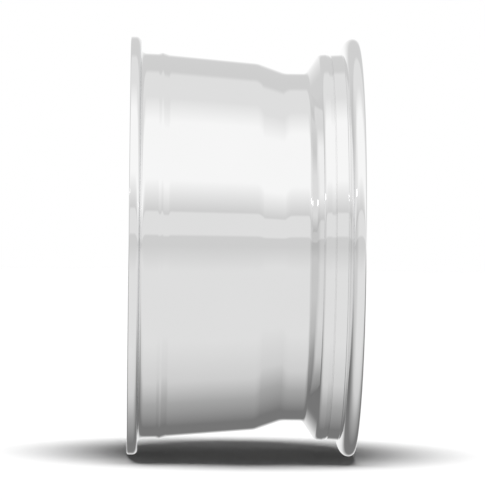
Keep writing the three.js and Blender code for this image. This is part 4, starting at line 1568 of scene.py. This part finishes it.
    def core(self) -> None:
        """The valve core: screwed body, sprung pin with its seal plug, and the spring round the pin."""
        slim = self.pin_radius + self.contact_gap
        body = [
            (self.core_bottom, slim),
            (self.core_bottom, self.core_radius - 0.3),
            (self.core_bottom + 0.3, self.core_radius),
            (self.core_top - 5, self.core_radius),
            *thread(self.core_top - 4.8, self.core_top - 0.2, self.core_radius, 0.25, 0.7),
            (self.core_top, self.core_radius - 0.25),
            (self.core_top, self.core_bore),
            (self.core_bottom + self.core_shoulder, self.core_bore),
            (self.core_bottom + self.core_shoulder, slim),
        ]
        self._fit(lathe("core_piece", body, 48), BRASS, Body.ROOT, "valve_core")
        plug_top = self.core_bottom - self.contact_gap
        pin = [
            (plug_top - self.pin_plug_length, 0),
            (plug_top - self.pin_plug_length, self.pin_plug_radius - 0.3),
            (plug_top - self.pin_plug_length + 0.3, self.pin_plug_radius),
            (plug_top - 0.3, self.pin_plug_radius),
            (plug_top, self.pin_plug_radius - 0.3),
            (plug_top, self.pin_radius),
            (self.pin_top - self.pin_head_length, self.pin_radius),
            (self.pin_top - self.pin_head_length, self.pin_head_radius),
            (self.pin_top - 0.2, self.pin_head_radius),
            (self.pin_top, self.pin_head_radius - 0.3),
            (self.pin_top, 0),
        ]
        self._fit(lathe("pin_piece", pin, 32), BRASS, Body.VALVE_PIN, "valve_pin")
        clear = self.contact_gap + self.spring_wire_radius
        low = self.core_bottom + self.core_shoulder + clear
        high = self.pin_top - self.pin_head_length - clear
        radius = (self.pin_radius + self.core_bore) / 2
        turn = 2 * math.pi * self.spring_turns
        coil = wire(
            "core_spring",
            lambda t: (radius * math.cos(turn * t), -(low + (high - low) * t), radius * math.sin(turn * t)),
            self.spring_wire_radius,
            self.spring_turns * 24,
        )
        self._fit(coil, SPRING_STEEL, Body.ROOT, "valve_spring")
        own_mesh(coil)

    def cap(self) -> None:
        """The screw cap, knurled over its grip, and the seal inside it."""
        bore = self.stem_radius + self.contact_gap
        outer = bore + self.cap_wall
        ceiling = self.seal_back + self.cap_seal_thickness + self.contact_gap
        top = ceiling + self.cap_top
        foot = top - self.cap_length
        segments = 192
        teeth = 32
        wave = np.cos(2 * np.pi * teeth * np.arange(segments) / segments)
        knurl = outer - 0.22 + 0.2 * wave
        rings = [
            (ceiling, 0.0),
            (ceiling, bore),
            (foot + 0.3, bore),
            (foot, bore + 0.2),
            (foot, outer - 0.2),
            (foot + 0.3, outer),
            (foot + 1.6, outer),
            (foot + 1.9, outer - 0.42),
            (foot + 2.2, outer - 0.42),
            (foot + 2.6, knurl),
            (top - 2.4, knurl),
            (top - 2.0, outer - 0.42),
            (top - 1.7, outer - 0.42),
            (top - 1.4, outer - 0.05),
            (top - 0.6, outer - 0.1),
            (top - 0.15, outer - 0.5),
            (top, outer - 0.9),
            (top, 0.0),
        ]
        shell = stacked("valve_cap_shell", rings, segments)
        self._fit(shell, ANODISED, Body.VALVE_CAP, "valve_cap")
        seal = filleted(
            [
                (self.seal_back, 0),
                (self.seal_back, self.stem_radius, 0.3),
                (self.seal_back + self.cap_seal_thickness, self.stem_radius, 0.3),
                (self.seal_back + self.cap_seal_thickness, 0),
            ],
            closed=False,
            step=20,
        )
        piece = lathe("valve_cap_seal_disc", seal, 48)
        self._fit(piece, RUBBER, Body.VALVE_CAP, "valve_cap_seal")

    def build(self) -> None:
        """Makes all the valve's pieces."""
        self.stem()
        self.clamping()
        self.core()
        self.cap()


# ---------------------------------------------------------------------- studio


class Card(Enum):
    """What the light tent is made of, as sRGB greys, from lit silk to the dark gaps between the cards."""

    SILK = "#f4f4f4"
    WHITE = "#dcdcdc"
    SHADED = "#cccccc"
    GREY = "#a4a4a4"
    GAP = "#747474"


@dataclass(frozen=True)
class Panel:
    """An edge or the middle of a card in the tent; the light changes evenly from one to the next.

    Attributes:
        angle: degrees round the spin axis: 0 faces the camera, 90 is overhead, 180 is behind, -90 is below.
        card: what is there.
    """

    angle: float
    card: Card


@dataclass
class Studio:
    """A light tent, an overhead softbox with a flag, a white floor and the camera.

    Attributes:
        tent_strength: the tent's strength round most of the wheel.
        end_strength: its strength at the inboard end, where it hangs further off.
        end_reach: the share of a direction that points inboard, where that change starts and ends.
        tent: its cards, in order round the spin axis.
    """

    floor_size: float = 60.0
    camera_distance: float = 3.95
    camera_along: float = 0.105
    aim_along: float = -0.0004
    aim_height: float = -0.0034
    roll: float = math.radians(0.6)
    focal_length: float = 286.0
    sensor: float = 36.0
    softbox_strength: float = 3.6
    softbox_angle: float = math.radians(20)
    fill: float = 0.03
    lamp_strength: float = 0.012
    lamp_angle: float = math.radians(3.2)
    lamp_way: tuple[float, float, float] = (-0.336, 0.87, 0.36)
    flag_size: tuple[float, float] = (0.58, 0.35)
    flag_back: float = 0.05
    flag_gap: float = 20.0
    floor_colour: str = "#f3f3f3"
    tent_strength: float = 1.1
    end_strength: float = 0.9
    end_reach: tuple[float, float] = (0.55, 0.85)
    tent: tuple[Panel, ...] = (
        Panel(-180, Card.SILK),
        Panel(-170, Card.WHITE),
        Panel(-160, Card.GAP),
        Panel(-140, Card.GAP),
        Panel(-110, Card.GREY),
        Panel(-90, Card.SHADED),
        Panel(-60, Card.WHITE),
        Panel(-15, Card.WHITE),
        Panel(0, Card.SHADED),
        Panel(6, Card.SHADED),
        Panel(7, Card.WHITE),
        Panel(20, Card.WHITE),
        Panel(21, Card.SHADED),
        Panel(40, Card.SILK),
        Panel(80, Card.SILK),
        Panel(100, Card.WHITE),
        Panel(125, Card.WHITE),
        Panel(130, Card.SHADED),
        Panel(160, Card.SHADED),
        Panel(175, Card.SILK),
    )

    def _tent_colour(self, tree: bpy.types.NodeTree, share: bpy.types.NodeSocket) -> bpy.types.NodeSocket:
        """The tent's colour for a share, from 0 to 1, of the turn round the spin axis."""
        ramp = add_node(tree, "ShaderNodeValToRGB", {"Fac": share})
        stops = ramp.color_ramp.elements
        while len(stops) < len(self.tent):
            stops.new(0.5)
        for stop, panel in zip(stops, self.tent):
            stop.position = (panel.angle + 180) / 360
            stop.color = linear(panel.card.value)
        return ramp.outputs["Color"]

    def world(self) -> None:
        """White for the camera, the tent for reflections, and a little fill for matt surfaces."""
        world = bpy.data.worlds.new("light_tent")
        bpy.context.scene.world = world
        world.use_nodes = True
        tree = world.node_tree
        tree.nodes.clear()
        direction = add_node(tree, "ShaderNodeTexCoord").outputs["Generated"]
        way = add_node(tree, "ShaderNodeSeparateXYZ", {0: direction})
        flipped = {0: way.outputs["X"], 1: -1.0}
        away = add_node(tree, "ShaderNodeMath", flipped, operation="MULTIPLY").outputs[0]
        sides = {0: way.outputs["Z"], 1: away}
        turn = add_node(tree, "ShaderNodeMath", sides, operation="ARCTAN2").outputs[0]
        whole = {"Value": turn, "From Min": -math.pi, "From Max": math.pi}
        share = add_node(tree, "ShaderNodeMapRange", whole).outputs["Result"]
        colour = self._tent_colour(tree, share)
        start, finish = self.end_reach
        towards_end = {"Value": way.outputs["Y"], "From Min": start, "From Max": finish}
        levels = {"To Min": self.tent_strength, "To Max": self.end_strength}
        strength = add_node(tree, "ShaderNodeMapRange", {**towards_end, **levels}).outputs["Result"]
        rays = add_node(tree, "ShaderNodeLightPath")
        white = (1.0, 1.0, 1.0, 1.0)
        tent = add_node(tree, "ShaderNodeBackground", {"Color": colour, "Strength": strength})
        fill = add_node(tree, "ShaderNodeBackground", {"Color": white, "Strength": self.fill})
        backdrop = add_node(tree, "ShaderNodeBackground", {"Color": white})
        bounces = {0: 1.0, 1: rays.outputs["Diffuse Depth"]}
        unscattered = add_node(tree, "ShaderNodeMath", bounces, operation="SUBTRACT")
        mirrored = {0: rays.outputs["Is Glossy Ray"], 1: unscattered.outputs[0]}
        seen = add_node(tree, "ShaderNodeMath", mirrored, operation="MULTIPLY", use_clamp=True).outputs[0]
        matt = {0: seen, 1: fill.outputs[0], 2: tent.outputs[0]}
        lit = add_node(tree, "ShaderNodeMixShader", matt)
        direct = {0: rays.outputs["Is Camera Ray"], 1: lit.outputs[0], 2: backdrop.outputs[0]}
        add_node(tree, "ShaderNodeOutputWorld", {0: add_node(tree, "ShaderNodeMixShader", direct).outputs[0]})

    def _card(self, name: str, outline: Sequence[Point], height: float) -> bpy.types.Object:
        """A level card, for the floor or the flag: its outline in metres, its height in millimetres."""
        shell = Shell()
        shell.faces.append(tuple(shell.loop([(x / MM, y / MM, height) for x, y in outline])))
        card = shell.piece(name)
        card.visible_glossy = False
        return card

    def floor(self) -> None:
        """A plain white floor, which mirror surfaces don't see, and the oval flag under the softbox."""
        low, high = cad_box
        half = self.floor_size / 2
        corners = [(-half, -half), (half, -half), (half, half), (-half, half)]
        floor = self._card("studio_floor", corners, low.z / MM)
        material = bpy.data.materials.new("white_floor_paint")
        material.use_nodes = True
        surface = material.node_tree.nodes["Principled BSDF"]
        surface.inputs["Base Color"].default_value = linear(self.floor_colour)
        surface.inputs["Roughness"].default_value = 0.9
        floor.data.materials.append(material)
        depth, width = self.flag_size
        oval = [(self.flag_back + depth / 2 * math.cos(a), width / 2 * math.sin(a)) for a in spaced(48, 0)]
        flag = self._card("softbox_flag", oval, high.z / MM + self.flag_gap)
        flag.visible_camera = False

    def softbox(self) -> None:
        """A large overhead softbox, far enough off to light the whole floor evenly."""
        light = bpy.data.lights.new("overhead_softbox", "SUN")
        light.energy = self.softbox_strength
        light.angle = self.softbox_angle
        lamp = bpy.data.objects.new("overhead_softbox", light)
        lamp.visible_glossy = False
        bpy.context.scene.collection.objects.link(lamp)

    def edge_lamp(self) -> None:
        """A small bare lamp past the inboard end, which draws a spark on the fillets that lean its way."""
        light = bpy.data.lights.new("edge_lamp", "SUN")
        light.energy = self.lamp_strength
        light.angle = self.lamp_angle
        lamp = bpy.data.objects.new("edge_lamp", light)
        lamp.rotation_euler = Vector(self.lamp_way).to_track_quat("Z", "Y").to_euler()
        bpy.context.scene.collection.objects.link(lamp)

    def camera(self) -> None:
        """The camera, square to the wheel's side and a little towards its inboard end."""
        data = bpy.data.cameras.new("camera")
        data.lens = self.focal_length
        data.sensor_width = self.sensor
        data.clip_end = 100.0
        made = bpy.data.objects.new("camera", data)
        bpy.context.scene.collection.objects.link(made)
        place = Vector((-self.camera_distance, self.camera_along, 0))
        aim = Vector((0, self.aim_along, self.aim_height))
        turn = (aim - place).to_track_quat("-Z", "Y").to_matrix().to_4x4()
        made.matrix_world = Matrix.Translation(place) @ turn @ Matrix.Rotation(self.roll, 4, "Z")
        bpy.context.scene.camera = made

    def build(self) -> None:
        """Sets up the studio."""
        bpy.context.scene.view_settings.view_transform = "Standard"
        self.world()
        self.floor()
        self.softbox()
        self.edge_lamp()
        self.camera()
        log.info("studio ready")


def main() -> None:
    """Builds the wheel and its studio."""
    logging.basicConfig(level=logging.INFO, format="%(name)s: %(message)s")
    rim = Rim()
    valve = Valve(rim)
    rim.build(valve)
    centre = Centre(rim)
    centre.build()
    Fasteners(rim, centre).build()
    HubPieces(centre).build()
    valve.build()
    Studio().build()


if __name__ == "__main__":
    main()
